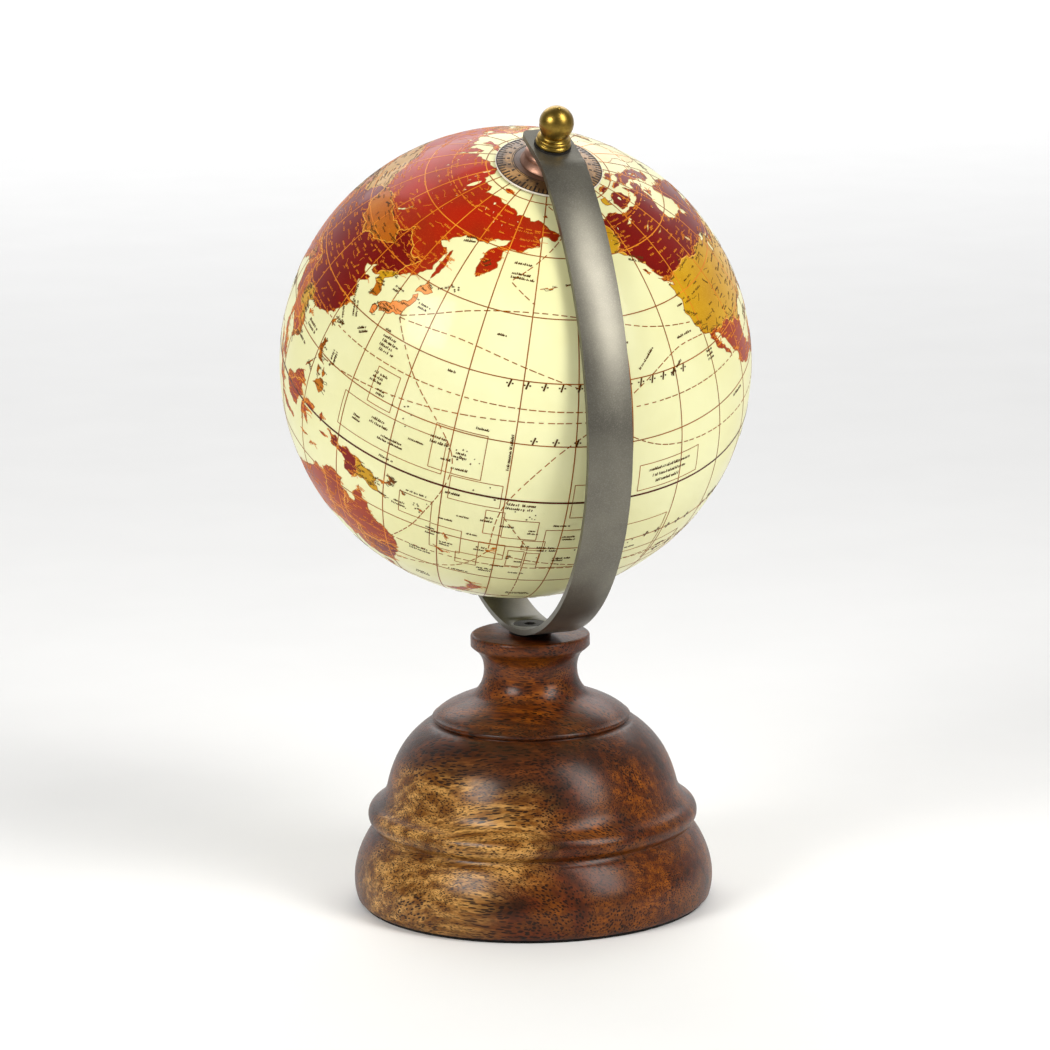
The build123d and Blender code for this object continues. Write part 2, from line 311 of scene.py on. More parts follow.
# ---------------------------------------------------------------- the printed map
# Outlines and borders are "longitude latitude" pairs, in degrees. A border ends at a semicolon.
LAND = {
    "eurasia": """-5.6 36, -9 37, -9.5 38.7, -9.3 43, -8 43.7, -1.6 43.4, -1.2 46, -4.7 48, -4.6 48.6,
        -1.6 48.7, -1.7 49.7, 1.8 50.9, 4 51.6, 4.8 53, 8.6 53.9, 8.2 57, 10.6 57.7, 10.3 56.2, 9.8 55,
        11 54.1, 14.2 54, 18.5 54.7, 21 55.3, 21.1 57, 24.2 57.1, 23.5 59.2, 28 59.6, 30 60, 25 60.2,
        22.5 60.2, 21.3 61.5, 21.5 63.2, 25.3 65.1, 22.2 65.8, 17.5 62.5, 17 60.7, 18.8 59.8, 16.5 57,
        14.3 55.6, 12.8 55.6, 11.3 58.9, 10.6 59.5, 8 58.1, 5.6 58.9, 5 61.5, 8.5 63.5, 12.5 66, 14.8 68.2,
        19.5 70, 25.5 71.1, 31 70.3, 33.5 69.4, 41 67.7, 40.5 66.4, 34 66.7, 34.8 64.5, 38 64, 40.3 64.6,
        40 66, 44 66, 44.2 68.4, 46 67.8, 46 66.8, 53 68.5, 59.5 68.4, 61 69.7, 68.5 68.3, 66.8 69.6,
        67.5 71.8, 70 73.2, 72.8 72.7, 72.5 70.5, 72 68, 73.5 66.6, 74 68, 74.5 72.5, 80 72.2, 81 73.6, 87 75,
        98 76.2, 104 77.7, 112 76.3, 113.5 73.6, 119 73, 123.5 73.2, 127 73.5, 129.5 71.2, 133 71.8,
        139.5 72.3, 150 71.5, 159 70.8, 161 69.5, 170 69.9, 171 69, 176 69.8, 180 68.9, 185 67.3, 190 66.1,
        187 64.3, 181 65.5, 178.5 64.5, 179.3 62.5, 174 61.7, 170.5 60, 166 60.3, 163.3 59.5, 163 58, 162 56,
        163 54.8, 160 53, 156.7 51, 155.6 55, 155.8 57, 159 59.5, 163.5 61.8, 164.5 62.5, 160 61.8,
        156.5 61.5, 154.5 59.7, 150.8 59.5, 143 59.3, 138.5 57, 135.2 54.8, 139.5 54.2, 141.3 53, 140.3 50,
        140.5 48, 138 46.3, 135.5 44.3, 132.3 43.2, 130.7 42.3, 129.7 41, 127.5 39.8, 127.5 39.3, 129.4 37,
        129.2 35.3, 126.5 34.4, 126.4 36.7, 125 38, 125.2 39.6, 121.2 38.8, 121.8 40.8, 119 39.2, 117.8 39,
        118.9 37.4, 122.5 37.3, 119.3 35, 120.5 33.5, 121.8 31.7, 121 30.5, 122 29.8, 120.5 27.4, 118.7 24.6,
        116.5 23, 113.5 22.2, 110.4 21.3, 110.2 20.4, 109.7 21.5, 108.2 21.6, 106 19.8, 107 17, 109 15,
        109.3 12, 106.8 10.4, 104.9 8.7, 104.8 10.3, 102.5 12, 101 13.4, 100 13.3, 99.3 11, 100.2 8.5,
        102 6.3, 103.4 4.5, 104.2 1.4, 101.3 2.9, 100.3 5.9, 98.4 8, 98.6 12, 97.7 16.5, 95.3 15.8, 94.3 18,
        92 21, 91.5 22.8, 90 22, 87 21.5, 86.5 20, 82.3 16.6, 80.2 15, 80.2 13, 79.8 10.3, 77.5 8.1, 76.3 10,
        74.8 13, 73.3 16, 72.8 19, 72.7 21.2, 70.5 20.8, 69 22.3, 70.3 22.9, 68.5 23.5, 67 24.8, 61.6 25.1,
        57.2 26, 56.7 27.1, 54 26.6, 51.5 27.9, 50 30.1, 48.2 30, 48.2 29, 50 26.7, 50.8 25, 51.6 25.9,
        51.5 24.4, 54 24.2, 56.3 26.3, 56.8 24.3, 58.7 23.6, 59.8 22.5, 57.8 19, 55.2 17.5, 52.3 15.6,
        45 12.8, 43.5 12.7, 42.8 15, 41.5 18, 39 21.3, 37 25, 35 28, 34.9 29.5, 34.3 27.8, 32.6 29.9,
        32.3 31.2, 34.2 31.4, 35.9 35, 36 36.8, 33.5 36.2, 30.6 36.8, 28 36.7, 26.3 38.5, 26.2 39.6, 29 41,
        31.3 41.2, 35 42, 38 41, 41.5 41.5, 41.3 42.5, 38.5 44.3, 37.3 45.3, 39.2 47.1, 35.5 46.4, 35 45.7,
        36.4 45.3, 33.5 44.5, 32.6 45.4, 33 46.1, 30.8 46.5, 28.8 44.6, 28 42, 28.6 41.2, 26 40.8, 23.7 40.3,
        22.8 40.4, 23 39, 24 38, 23 36.5, 21.6 37, 21 38.5, 19.5 41, 19.3 42, 16.5 43.5, 14 45, 12.4 45.2,
        12.4 44.2, 14 42.5, 16 41.8, 18.5 40.1, 17 40.4, 16.6 39.4, 17 39, 15.9 38, 15.8 40, 14.3 40.8,
        12.3 41.8, 10.3 43.5, 8.8 44.4, 6.5 43.2, 3.2 43.2, 3 41.8, 0.5 40.5, -0.3 39, -1.8 37, -4.5 36.7""",
    "africa": """-5.9 35.8, -9.8 31.5, -13 27.7, -17 21, -16.2 18, -17.5 14.7, -16.7 12.4, -13.5 9.5,
        -11.5 6.8, -7.6 4.4, -4 5.2, 1.2 6, 4.4 6.3, 6 4.3, 8.8 4.5, 9.4 1, 8.8 -0.8, 11.8 -4.7, 13.3 -8.8,
        13.6 -12, 11.8 -16, 14.5 -22.8, 15.2 -26.8, 18.3 -32, 18.4 -34.2, 20 -34.8, 25.7 -34, 31 -29.8,
        32.8 -27, 35.5 -24, 34.9 -19.8, 40.7 -15, 40.6 -10.7, 38.8 -6, 39.3 -4.5, 41.6 -1.8, 46 2.5, 51 10.4,
        51.2 11.9, 43.3 11.5, 39.7 15, 37.4 18.7, 37.2 21, 35.5 24, 32.6 29.9, 32.3 31.2, 29.8 31.1, 25 31.6,
        20 32.3, 19 30.3, 15.5 31.7, 11 33.3, 10 34.2, 11 37, 9.8 37.3, 5 36.8, 0 36, -2 35.1, -5.3 35.9""",
    "americas": """-168 65.6, -161 66.2, -166.8 68.3, -163 69.6, -156.8 71.3, -150 70.5, -141 69.6, -135 69,
        -128.5 70, -125 69.5, -115 68, -109 68, -102 67.8, -95.5 68, -94 71.8, -91.5 69.7, -88 68.7, -85 69.8,
        -81.5 69.5, -81.5 67, -86 66.3, -87 64.5, -93 62, -94.7 59, -92.5 57, -88 56.5, -82.3 55.1, -82 52.8,
        -79 51.4, -79.5 54.6, -76.6 57, -78.3 59.8, -77.5 62.5, -73.5 62.3, -69.5 58.8, -64.4 60.3, -62 57.5,
        -60 55.2, -55.8 52.2, -60 50.2, -66.4 50.2, -70 47.5, -65 49, -64.5 47.8, -65 46.2, -61 45.7,
        -64 44.5, -66 43.6, -67 44.8, -70.2 43.6, -70.6 41.8, -74 40.6, -76 36.9, -75.6 35.2, -79 33.3,
        -81.3 31.4, -80.1 27, -80.4 25.2, -81.8 26.2, -82.8 28, -84 30, -89.5 29.2, -94 29.5, -97.3 27.6,
        -97.8 22, -96 19.2, -94.3 18.2, -91.7 18.7, -90.4 20.5, -87 21.5, -88.3 17, -88.9 15.9, -84 15.8,
        -83.7 11, -82 9, -79.5 9.4, -77.3 8.5, -75.5 10.7, -72 12, -71.5 10.8, -64 10.3, -61.8 10.7, -60 8.5,
        -57 6, -52 4.9, -50 1, -48.5 -0.8, -44.3 -2.7, -40 -2.9, -35.3 -5.2, -34.9 -8, -39 -13, -39.2 -17.5,
        -41 -22, -45 -23.6, -48.6 -26, -48.7 -28.5, -52.2 -32.2, -54.5 -34.8, -58.3 -34, -57 -36.5, -62.1 -39,
        -65 -41, -65.5 -45, -67.5 -46, -65.8 -47.8, -69 -51, -68.3 -52.5, -65.3 -54.8, -68 -55.6, -72 -54,
        -75 -50, -74 -45, -73 -42, -73.6 -39, -71.5 -33, -70.6 -27, -70.3 -20, -76 -14, -79.8 -7, -81.3 -4.5,
        -80.2 -3.2, -81 -1, -80 1, -77.5 3.5, -77.5 7, -80 7.5, -83 8.4, -85.5 10, -87.6 12.9, -91.5 14,
        -94.5 16.2, -98 16.2, -102 18, -105.4 20, -105.6 22.5, -108.5 25.3, -112 29, -113.1 31.2, -114.7 31.7,
        -114.6 30, -111.3 26, -109.5 23.2, -112.2 25.5, -114.5 27.5, -117.2 32.7, -120.6 34.6, -122.5 37.6,
        -124.2 40.5, -124 46.2, -124.7 48.3, -122.6 47.3, -123 49, -127 51, -130 54.5, -133 57, -136 58.5,
        -139.7 59.6, -145 60.3, -148.5 60, -151.5 59.3, -151 61, -153.8 59.3, -158 57, -162.8 55, -160 56,
        -157.5 58.7, -162 58.7, -164.9 60.8, -164.8 63, -161 63.6, -161 64.5, -166 64.5""",
    "australia": """114 -22, 113.5 -26, 115.7 -32, 115 -34.3, 118 -35, 124 -33.2, 129 -31.6, 131.5 -31.5,
        135.8 -34.8, 137.8 -33, 138 -35.5, 140 -38, 143.5 -38.8, 147 -38.2, 150 -37.3, 151.3 -33.8, 153.2 -30,
        153.2 -26, 149 -20.7, 146.2 -18.8, 145.4 -15, 143.5 -14.2, 142.6 -10.7, 141.6 -13, 140.8 -17.5,
        139 -17.3, 136 -15.2, 136.9 -12.2, 132.6 -11.5, 130.5 -12.7, 129.5 -15, 126 -14.2, 123.5 -17.3,
        119 -20""",
    "antarctica": """-180 -78.2, -158 -77.5, -137 -75, -115 -74, -100 -72.5, -80 -73, -75 -71, -68 -67,
        -57 -63.3, -60 -66, -62 -70, -61 -74.5, -60 -77, -36 -78.5, -28 -76, -18 -73, -8 -71, 5 -70, 38 -69.5,
        50 -67, 58 -67, 70 -72, 75 -69.5, 88 -66.5, 115 -66.5, 145 -67, 160 -69.5, 170 -72, 166 -76, 163 -78,
        180 -78.2, 180 -86, 90 -86, 0 -86, -90 -86, -180 -86""",
    "greenland": """-73 78.2, -60 76, -54 71, -51 69, -53.5 66.5, -50 62.5, -44 60, -42 62, -39.5 65.5,
        -32 68, -22 70.5, -20 74, -18 79, -30 82, -60 81""",
    "baffin": """-61.5 66.7, -64 63, -68 63, -73 67, -79 70, -88 71, -90 73.5, -80 73.7, -76 72.8, -70 70.5,
        -64.5 67.5""",
    "victoria": "-117 69, -105 68.9, -101 69.5, -105 73, -114 73, -118 71.5",
    "banks": "-125 72, -120 71.5, -119 74, -124.5 74.2",
    "ellesmere": "-78 76.5, -85 77.8, -90 80, -70 81, -72 79",
    "devon": "-92 76.5, -80 75.5, -82 74.6, -92 74.8",
    "somerset": "-100 73.5, -91 72.8, -92 74, -99 74.3",
    "melville": "-115 75, -106 75, -107 76.2, -115 76.4",
    "southampton": "-86 63.8, -80.5 63.8, -84 66",
    "newfoundland": "-59 47.7, -53 46.8, -53 48.5, -55.5 51.5, -57.5 50",
    "iceland": "-22.5 64, -18.5 63.4, -13.8 65, -16 66.5, -23.5 66.4",
    "britain": """-5 50.2, 1.3 51.2, 1.6 52.7, -1.2 54.6, -2 57.5, -3.2 58.6, -5.5 58.5, -5 56, -3 54.8,
        -4.5 53.2, -3 51.4""",
    "ireland": "-9.7 51.7, -6.4 52.2, -6 54.5, -8 55.3, -10 54",
    "svalbard": "11 79, 17 76.6, 21 78.5, 16 80",
    "novaya": "52 71.5, 57 70.7, 57 73, 68.5 76.8, 60 76, 54 73",
    "new_siberia": "138 75.5, 143 74.6, 150 75, 144 76",
    "wrangel": "179 71, 182 70.9, 181 71.5",
    "sakhalin": "142 46, 143.5 49, 143 52.5, 142.7 54.4, 142 51, 142 48",
    "hokkaido": "140 41.5, 143.3 42, 145.5 43.3, 142 45.5, 140.5 43.2",
    "honshu": """131 34.2, 135.7 33.5, 137 34.6, 140 35, 141 38, 141.9 39.7, 141.3 41.4, 140 40.5, 139.5 38.5,
        137 37.2, 132.7 35.5""",
    "kyushu": "130 33.4, 131.8 33.3, 131.4 31.4, 130.2 31.2, 129.8 32.7",
    "shikoku": "132.3 33.6, 132.7 32.9, 134.6 33.8, 134 34.3",
    "taiwan": "121.6 25.2, 121 22, 120.2 23.2",
    "hainan": "108.8 19.2, 109.6 18.3, 110.9 19.9",
    "luzon": "120.6 18.5, 122.2 18.4, 121.6 15.8, 124 13, 120.7 13.8, 119.9 16.3",
    "samar": "124.5 12.5, 125.6 11.2, 125 10.1, 124.4 11",
    "panay": "122 11.8, 123.2 11.4, 123.4 9.4, 122.4 10.1",
    "mindanao": "123.5 8.6, 125.8 9.5, 126.4 7.2, 125.3 5.9, 122 7",
    "palawan": "117.2 8.4, 119.5 11.3, 118.6 9.6",
    "borneo": """109 1.5, 111.3 2.5, 113.5 3.7, 116.8 6.9, 119 5.2, 117.6 3.5, 119 1, 116.5 -1.5, 116 -3.8,
        114.5 -4, 111.5 -3.3, 110 -1.3""",
    "sulawesi": """119.5 -5.5, 120.4 -3, 122.5 -5, 122 -3, 121.3 -1.9, 123.3 -0.9, 120.2 -1, 120.3 0.4,
        124.5 0.4, 125 1.5, 120.8 1.3, 119.8 0, 119 -3""",
    "sumatra": "95.3 5.6, 98.3 4, 103.5 -1, 106 -3, 105.8 -5.8, 102.3 -4, 98.7 1.7",
    "java": "105.3 -6.8, 108.6 -6.7, 114.4 -7.8, 114.4 -8.7, 106.5 -7.4",
    "timor": "123.5 -10.3, 125.2 -9.5, 127 -8.4, 125 -9",
    "flores": "119 -8.5, 122.8 -8.2, 121 -8.9",
    "halmahera": "127.5 1, 128 2, 128.5 0.5, 127.9 -0.7",
    "seram": "128 -3.3, 129.5 -2.9, 130.8 -3.3",
    "new_guinea": """131 -1, 134 -0.8, 135 -3.3, 138 -1.7, 141 -2.6, 145 -4.3, 147.8 -6, 147.2 -7,
        150.8 -10.3, 147 -9.5, 144 -7.7, 141 -9.1, 138 -8.3, 138 -5.5, 133 -4, 132.8 -2.8""",
    "new_britain": "148.3 -5.7, 150.5 -5.4, 152 -4.3, 151.8 -5.5, 149.5 -6.3",
    "new_ireland": "150.8 -2.6, 153 -4.2, 152.8 -4.7",
    "bougainville": "154.6 -5.5, 156 -6.7, 155.3 -6.7",
    "guadalcanal": "159.6 -9.3, 161 -9.8, 160.2 -9.9",
    "new_caledonia": "164 -20.2, 167 -22.1, 166.4 -22.4",
    "espiritu": "166.6 -14.7, 167.3 -15.6, 167.6 -16.5, 166.8 -15.8",
    "viti_levu": "177.3 -17.6, 178.6 -17.7, 178 -18.3",
    "vanua_levu": "178.6 -16.9, 180.1 -16.2, 179.4 -16.9",
    "tasmania": "144.7 -40.8, 148.2 -40.9, 147.5 -43.4, 146 -43.5",
    "nz_north": "173 -34.5, 175.5 -36.8, 178.5 -37.8, 177 -39.5, 175.2 -41.5, 173.8 -39.2, 174.7 -37",
    "nz_south": "172.7 -40.6, 174.2 -41.7, 172.8 -43.8, 170.5 -46, 168.4 -46.6, 166.6 -46, 171 -42.4",
    "hawaii": "-156 20.2, -154.9 19.5, -155.8 19",
    "maui": "-158.3 21.6, -157.6 21.3, -156.2 20.8, -156.6 21.1",
    "unimak": "-164.8 54.7, -163.2 54.9, -166.6 53.6, -168.6 53",
    "adak": "-172 52.7, -175 52.1, -178.5 51.8, -176 52.3",
    "kodiak": "-154.4 57.3, -152.4 57.6, -153.6 56.9",
    "vancouver": "-128.2 50.7, -125 49.6, -123.6 48.4, -126.4 49.4",
    "haida": "-133 54.1, -131.7 53.9, -131.3 52.3",
    "madagascar": "44 -17, 49.3 -12, 50.3 -15.8, 47 -25, 44 -24.8, 43.3 -22",
    "sri_lanka": "80 9.7, 81.8 7.5, 80.5 6",
    "cuba": "-84.8 21.9, -80 23, -74.2 20.2, -77.5 20, -80.5 22.2",
    "hispaniola": "-74.4 18.4, -72.8 20, -68.5 18.6, -71.5 17.8",
    "sicily": "12.5 38, 15.5 38.2, 15 36.8",
    "sardinia": "8.3 41, 9.7 41, 9.5 39.2, 8.5 39",
    "corsica": "8.7 42.5, 9.4 42.9, 9.3 41.5",
    "crete": "23.6 35.5, 26.3 35.2, 24.8 34.9",
    "cyprus": "32.4 35, 34.5 35.6, 33.3 34.6",
}
LAKES = {
    "caspian": "49 46.5, 53 46.8, 53 45, 51 44.5, 51 43, 53 40, 53.9 37, 50 37.4, 50.3 40.4, 48 42, 47 44",
    "aral": "58.3 45.4, 61 46.5, 60 43.8",
    "baikal": "104 51.6, 106.5 52.6, 108.8 54, 109.9 55.7, 109 53.6, 106.5 51.9",
    "balkhash": "73.6 46, 76 46.9, 79 46.5, 75.5 46.2",
    "ladoga": "30.9 60, 31 61.6, 32.9 60.8",
    "victoria_nyanza": "31.7 -0.5, 34.2 0, 34 -1.5, 33 -2.6, 31.7 -2.2",
    "tanganyika": "29.3 -3.5, 30.9 -8.6, 30 -6",
    "superior": "-92 46.8, -88.5 48.8, -84.8 47.5, -87.5 46.6",
    "michigan": "-87.8 42, -86.3 42.5, -85.3 45.8, -87.6 44.8",
    "huron": "-84.2 46, -80.5 45.5, -82 43.4, -83.5 44.8",
    "ontario": "-83 41.9, -79 42.8, -76.4 43.8, -79.4 43.5",
    "winnipeg": "-97 50.6, -96.3 51.6, -98.8 53.9, -98.4 52",
    "athabasca": "-111 59, -106.5 59.4, -109 58.8",
    "great_slave": "-116.5 61.2, -109.5 62.8, -113.5 62.2",
    "great_bear": "-124.5 65.4, -119 66.8, -118 65.8, -121.5 65",
    "titicaca": "-70 -15.4, -69 -16.4, -69.3 -15.8",
}
BORDERS = """49.5 45.6, 47 48.5, 49 51, 54.5 50.7, 61.5 53.9, 65 54.5, 71 54.2, 77 53.2, 80 50.8, 83.5 50.9,
    87.3 49.1; 87.3 49.1, 82.4 45.3, 80.2 42.2; 80.2 42.2, 74 43.1, 71 42.5, 68.2 41.2, 66 42.5, 61 44.3,
    56 45, 56 41.3, 51 41.7; 80.2 42.2, 73.8 39.8, 74.8 37.3; 68.2 41.2, 61 41.3, 56 41.3; 67.8 37.2,
    68.2 41.2; 87.3 49.1, 92 50.7, 98 52, 98.3 50.6, 102.3 51.4, 106 50.3, 114 50.2, 116.7 49.9; 116.7 49.9,
    119.8 47, 115.7 45.5, 111.9 43.7, 105 41.6, 96.4 42.7, 91 45.2, 87.3 49.1; 116.7 49.9, 120 52.7, 121 53.3,
    127.5 50, 131 47.7, 134.8 48.3, 131 44.9, 130.5 42.5; 130.5 42.5, 128 42, 124 38.9; 130.5 42.5, 131.4 42;
    124.8 37.7, 128.9 38.6; 108.6 20.7, 105.3 23.3, 102 22.4, 101 21.3, 98.8 24, 97.5 28; 97.5 28, 92 27.8,
    88 27.9, 81 30.3, 79 32.5, 78 35.5, 74.8 37.3; 88 27.9, 88.2 26.5, 81 28.5, 80.2 30; 67.6 23.4, 71 25,
    70.5 28, 74.5 31, 74 34, 77.8 35.5; 61.4 24.6, 61 29.8, 66.4 29.9, 69.5 33.3, 71.5 36, 74.8 37.3; 61 29.8,
    60.6 34, 61.3 35.6, 64.5 37, 67.8 37.2, 71 38, 74.8 37.3; 61.3 35.6, 57 38.2, 53.3 37.6; 48.6 29.6, 46 33,
    45 36, 44.5 37.2, 44.5 39.5, 46.5 38.9, 50.8 38.4; 44.5 37.2, 42.3 37.1, 35.4 36.1; 44.5 39.5, 43.5 41.1,
    41 41.8; 39.5 43.2, 43 43, 46.5 41.8, 48.8 41.9; 49 29, 44.7 29.2, 39.2 32.1, 41.3 34.5, 42.3 37.1;
    34.2 32.9, 39.2 32.1, 37 29.9, 34.8 28.8; 41.6 16.3, 46 17.2, 52 19; 52 19, 53.6 15.8; 52 19, 55 20,
    55.3 22.7, 57.2 24.9; 51.9 24.8, 52.6 22.9, 55.3 22.7; 89 21.4, 88.3 25.5, 92 25.1, 91.7 20.3; 92.3 22,
    94.5 25.3, 97.5 28; 97.9 22, 98 18.5, 98.7 15, 99.2 11.7, 98.2 10; 98.8 24, 97.9 22, 101 21.3, 101 17.6,
    104.5 17.3, 105.5 14.3, 102.5 13.6, 103 11.4; 102 22.4, 104.5 20, 107.5 15.5, 107.5 12.5, 104.3 10.3;
    105.5 14.3, 107.5 14.3; 99.1 6.3, 102.6 6; 109.3 1, 112 1, 115 3, 118 4.3; 141 -2, 141 -9.6; 129 -14,
    129 -32.5; 138 -15, 138 -26, 129 -26; 141 -26, 141 -39; 138 -26, 141 -26, 141 -29, 153.8 -28.6; 141 -34,
    146 -36, 150.5 -37.6; 138 -20, 137.4 -17; 10.9 59, 12.5 61.5, 12 63.5, 14.5 66.5, 20 69, 25.5 69.2,
    29 69.8, 31 69.8, 31.5 70.6; 24 64.8, 20.6 69; 27.5 60, 31.5 62.9, 29.5 66, 28.5 68.5, 29 69.8; 27.8 60,
    27.5 57.5, 31 55.5, 31.5 53, 34 52.3, 40 49.6, 38 46.4; 20.5 56.2, 26 56, 28.5 56; 23.8 57.8, 27.5 57.5;
    31.5 53, 31.5 51.8, 23.6 51.8, 23.5 54, 26 56; 23.5 54, 19.3 55.3; 14.2 54.9, 14.8 51, 18.8 49.5,
    22.8 49.2, 23.6 51.8; 14.8 51, 12.2 50.2, 13.9 48.8, 17 48.8, 18.8 49.5; 7 53.9, 6 51.5, 6.3 49.4, 8.2 49,
    7.6 47.5, 13 47.6, 13.9 48.8; 2.2 51.4, 6.3 49.4; 7.6 47.5, 6 46.3, 7 45.9, 7.5 43.5; -2.2 43.6, 3.6 42.4;
    -10.2 41.9, -6.6 41.8, -7.4 35.9; 7 45.9, 10.5 46.7, 13.7 46.5, 13.4 44.6; 13.7 46.5, 16.5 46.7, 17 48.8;
    16.5 46.7, 18.8 45.9, 22.2 48.1, 22.8 49.2; 22.2 48.1, 27 48.2, 28.2 45.5, 30 45; 18.8 45.9, 21.3 46.1,
    22.5 44.2, 28.9 43.7; 22.5 44.2, 22.9 41.3, 26.3 41.7, 28.3 42; 26.3 41.7, 26 40.4; 22.9 41.3, 21 41,
    20 39.4; 18.8 45.9, 16 45, 18 41.9; -2 35.5, -1.5 32.5, -3.6 30.5, -8.7 27.7, -13.6 27.7; 8.6 37.3, 8 33,
    9.5 30.2, 11.9 33.6; 9.5 30.2, 9.8 26.5, 11.9 23.5, 3.2 19, -4.8 25, -8.7 27.3, -8.7 27.7; -8.7 27.3,
    -12 26, -13 23, -13 21.3, -17.3 21; -4.8 25, -6 15.5, -12 15, -17.8 16; 3.2 19, 4.2 16.5, 0.2 15,
    -5.5 10.5, -8 10.2, -11.4 12.2, -12 15; 11.9 23.5, 15 23, 15.5 16.5, 13.5 13.7, 4 13.5, 3.6 11.7, 2.7 6;
    15 23, 24 19.5, 22.3 12.7, 15 7.5, 13.5 13.7; 25 32.2, 25 22, 36.8 22; 24 19.5, 24 22, 25 22; 38.9 18.3,
    36.5 17, 36.5 14.3, 43 12; 36.5 14.3, 34 9.5, 24 10, 22.3 12.7; 34 9.5, 36 4.5, 42 4, 48 8, 43.4 11.8;
    42 4, 41.9 -2.7; 36 4.5, 31 3.7, 27.3 5, 24 10; 34 4, 34 -1, 40 -5; 31 3.7, 29.6 -1, 31 -8.3, 28.5 -9,
    29.8 -13.5, 24 -11, 22 -11, 21.8 -7.3, 16.8 -7, 11.2 -6; 27.3 5, 18.6 3.5, 18 -1, 15 -4.8, 11 -4.8;
    18.6 3.5, 16 2, 8.4 2.3; 15 7.5, 16 2; 8.2 4, 13.5 11, 13.5 13.7; 31 -8.3, 33 -10.1, 34.5 -11.5,
    41.4 -10.5; 33 -14, 33 -10.1; 29.8 -13.5, 33 -14, 35.8 -16; 22 -11, 22 -16, 25.3 -17.8, 30.4 -16, 33 -14;
    11 -17.3, 20 -17.6, 25.3 -17.8; 25.3 -17.8, 29.4 -22.2, 31.3 -22.4, 32.8 -19, 30.4 -16; 31.3 -22.4,
    32 -26.9, 33.4 -26.9; 29.4 -22.2, 26 -25, 20 -26, 20 -28.5, 16 -28.6; 20 -26, 20 -17.6; -7.6 3.8, -8 10.2;
    -3 4.6, -2.8 11, -5.5 10.5; 1 5.5, 0 11, 3.6 11.7; -2.8 11, 0 11; 32.7 29.5, 32.3 31.8; -141 70.3,
    -141 60.3, -137 59, -130 55.5, -131.5 54.5; -125.6 48.6, -123 49, -95.2 49, -89 48, -83.5 46, -82.5 42.5,
    -79 43.3, -75 45, -71 45.2, -68 47.3, -67.5 43.9; -117.9 32.5, -111 31.3, -106.5 31.8, -103 29, -101 29.8,
    -96.6 25.9; -92.6 13.9, -91 17.2, -89 17.8, -87.1 18.4; -89 17.8, -89 15.6, -89.6 14.4, -90.2 13.1;
    -89 15.6, -88 16.3; -89.6 14.4, -87.5 13.2, -87.3 12.3; -87.5 13.2, -82.9 15; -86.7 10.8, -83 10.9; -83 8,
    -82.4 9.8; -77.6 9, -78.3 6.8; -71.3 11.6, -72.5 8, -67.5 6.2, -67 1.2; -70 -4.2, -70 0.5, -67 1.2, -60 5,
    -60 8.8; -60 5, -56.5 2, -51.2 4.3; -57.2 6.4, -56.5 2; -54 6, -54 2.3; -80.8 -3.4, -78.5 -5, -75.2 -0.1,
    -79.7 2.1; -75.2 -0.1, -70 -4.2; -70 -4.2, -73.8 -7.3, -70.5 -11, -69 -12.5, -65.3 -10.5, -60 -16.3,
    -58 -20; -69 -12.5, -69.5 -17.5, -72.3 -18.7; -69.5 -17.5, -67 -22.8, -62.6 -22.2, -58 -20, -54.5 -24,
    -54.6 -25.6; -62.6 -22.2, -58.6 -27.2, -54.6 -25.6, -53.7 -26.8, -57.6 -30.2, -53 -33.9; -57.6 -30.2,
    -57.8 -34.5; -67 -22.8, -70 -31, -71.5 -38, -71.5 -45, -72.5 -50, -69 -52.2, -68 -52.6; -68.6 -52.4,
    -68.6 -55.6"""
SEEDS = """crimson 100 62, crimson 40 56, maroon 105 34, amber 104 46.5, tan 68 48, tan 60 39, maroon 64 41.8,
    amber 70 39.5, gold 126.5 40, amber 127.8 36.5, amber 107.8 14, gold 105 22, orange 101 15.5,
    gold 103.5 18.6, red 105 12.6, orange 96 21, red 102.5 4, gold 79 22, amber 90.3 24, maroon 68.5 29,
    tan 65 33.5, red 84 28.2, gold 54 32, orange 44 33, maroon 46 24, gold 47 16, amber 57 21, gold 54 23.6,
    tan 37 31, amber 38.5 35, red 34 39, gold 44 42, crimson 8 61, gold 16 63, amber 26 64, orange 25.5 58.5,
    tan 24.5 55.5, amber 28 53.5, gold 32 49, red 20 52, gold 10.5 51, orange 15.5 49.8, amber 2.5 47,
    maroon -4 40, gold -8 39.5, red 12 43, orange 15 47.5, red 19.5 47, amber 25 46, gold 25.5 42.7,
    orange 22 39.5, maroon 20 44, tan 5 51, red 3 29, amber -6 32, gold -13.5 24.5, orange 9.5 35, gold 17 28,
    orange 30 27, tan -10.5 19, maroon -2 18, gold 9 18, amber 19 15, red 30 15, gold 39 9, orange 46.5 6.5,
    amber 37.5 1, gold 34 -6, maroon 23 -3, amber 20 7, orange 12.4 5.5, red 11.5 -1, gold 8 9.5,
    amber 17.5 -12, orange 26 -14, red 38 -14, gold 17 -22, red 23 -22, amber 29 -19, maroon 24 -30,
    tan -12.5 13.5, gold -6 7.5, red -1.2 8, amber 1.7 8.5, orange -1 13, gold -152 65, maroon -110 58,
    gold -100 40, red -102 24, amber -90.2 15.5, gold -86.5 14.5, orange -84.5 12.5, tan -80 8.5,
    amber -74 4.5, gold -65 7.5, crimson -52 -10, maroon -76 -10, gold -78.3 -1.5, orange -64.5 -17,
    amber -59 -24, gold -65 -35, red -70.3 -33, maroon -56 -32.8, orange -59 3.8, gold -55.8 4, tan -53 3.6,
    red 122 -25, red 134 -20, red 134 -29, red 146 -23, red 146 -32, maroon 144 -37, ivory 0 -80,
    ivory -40 74, maroon 138 -4, gold 144 -6.5"""
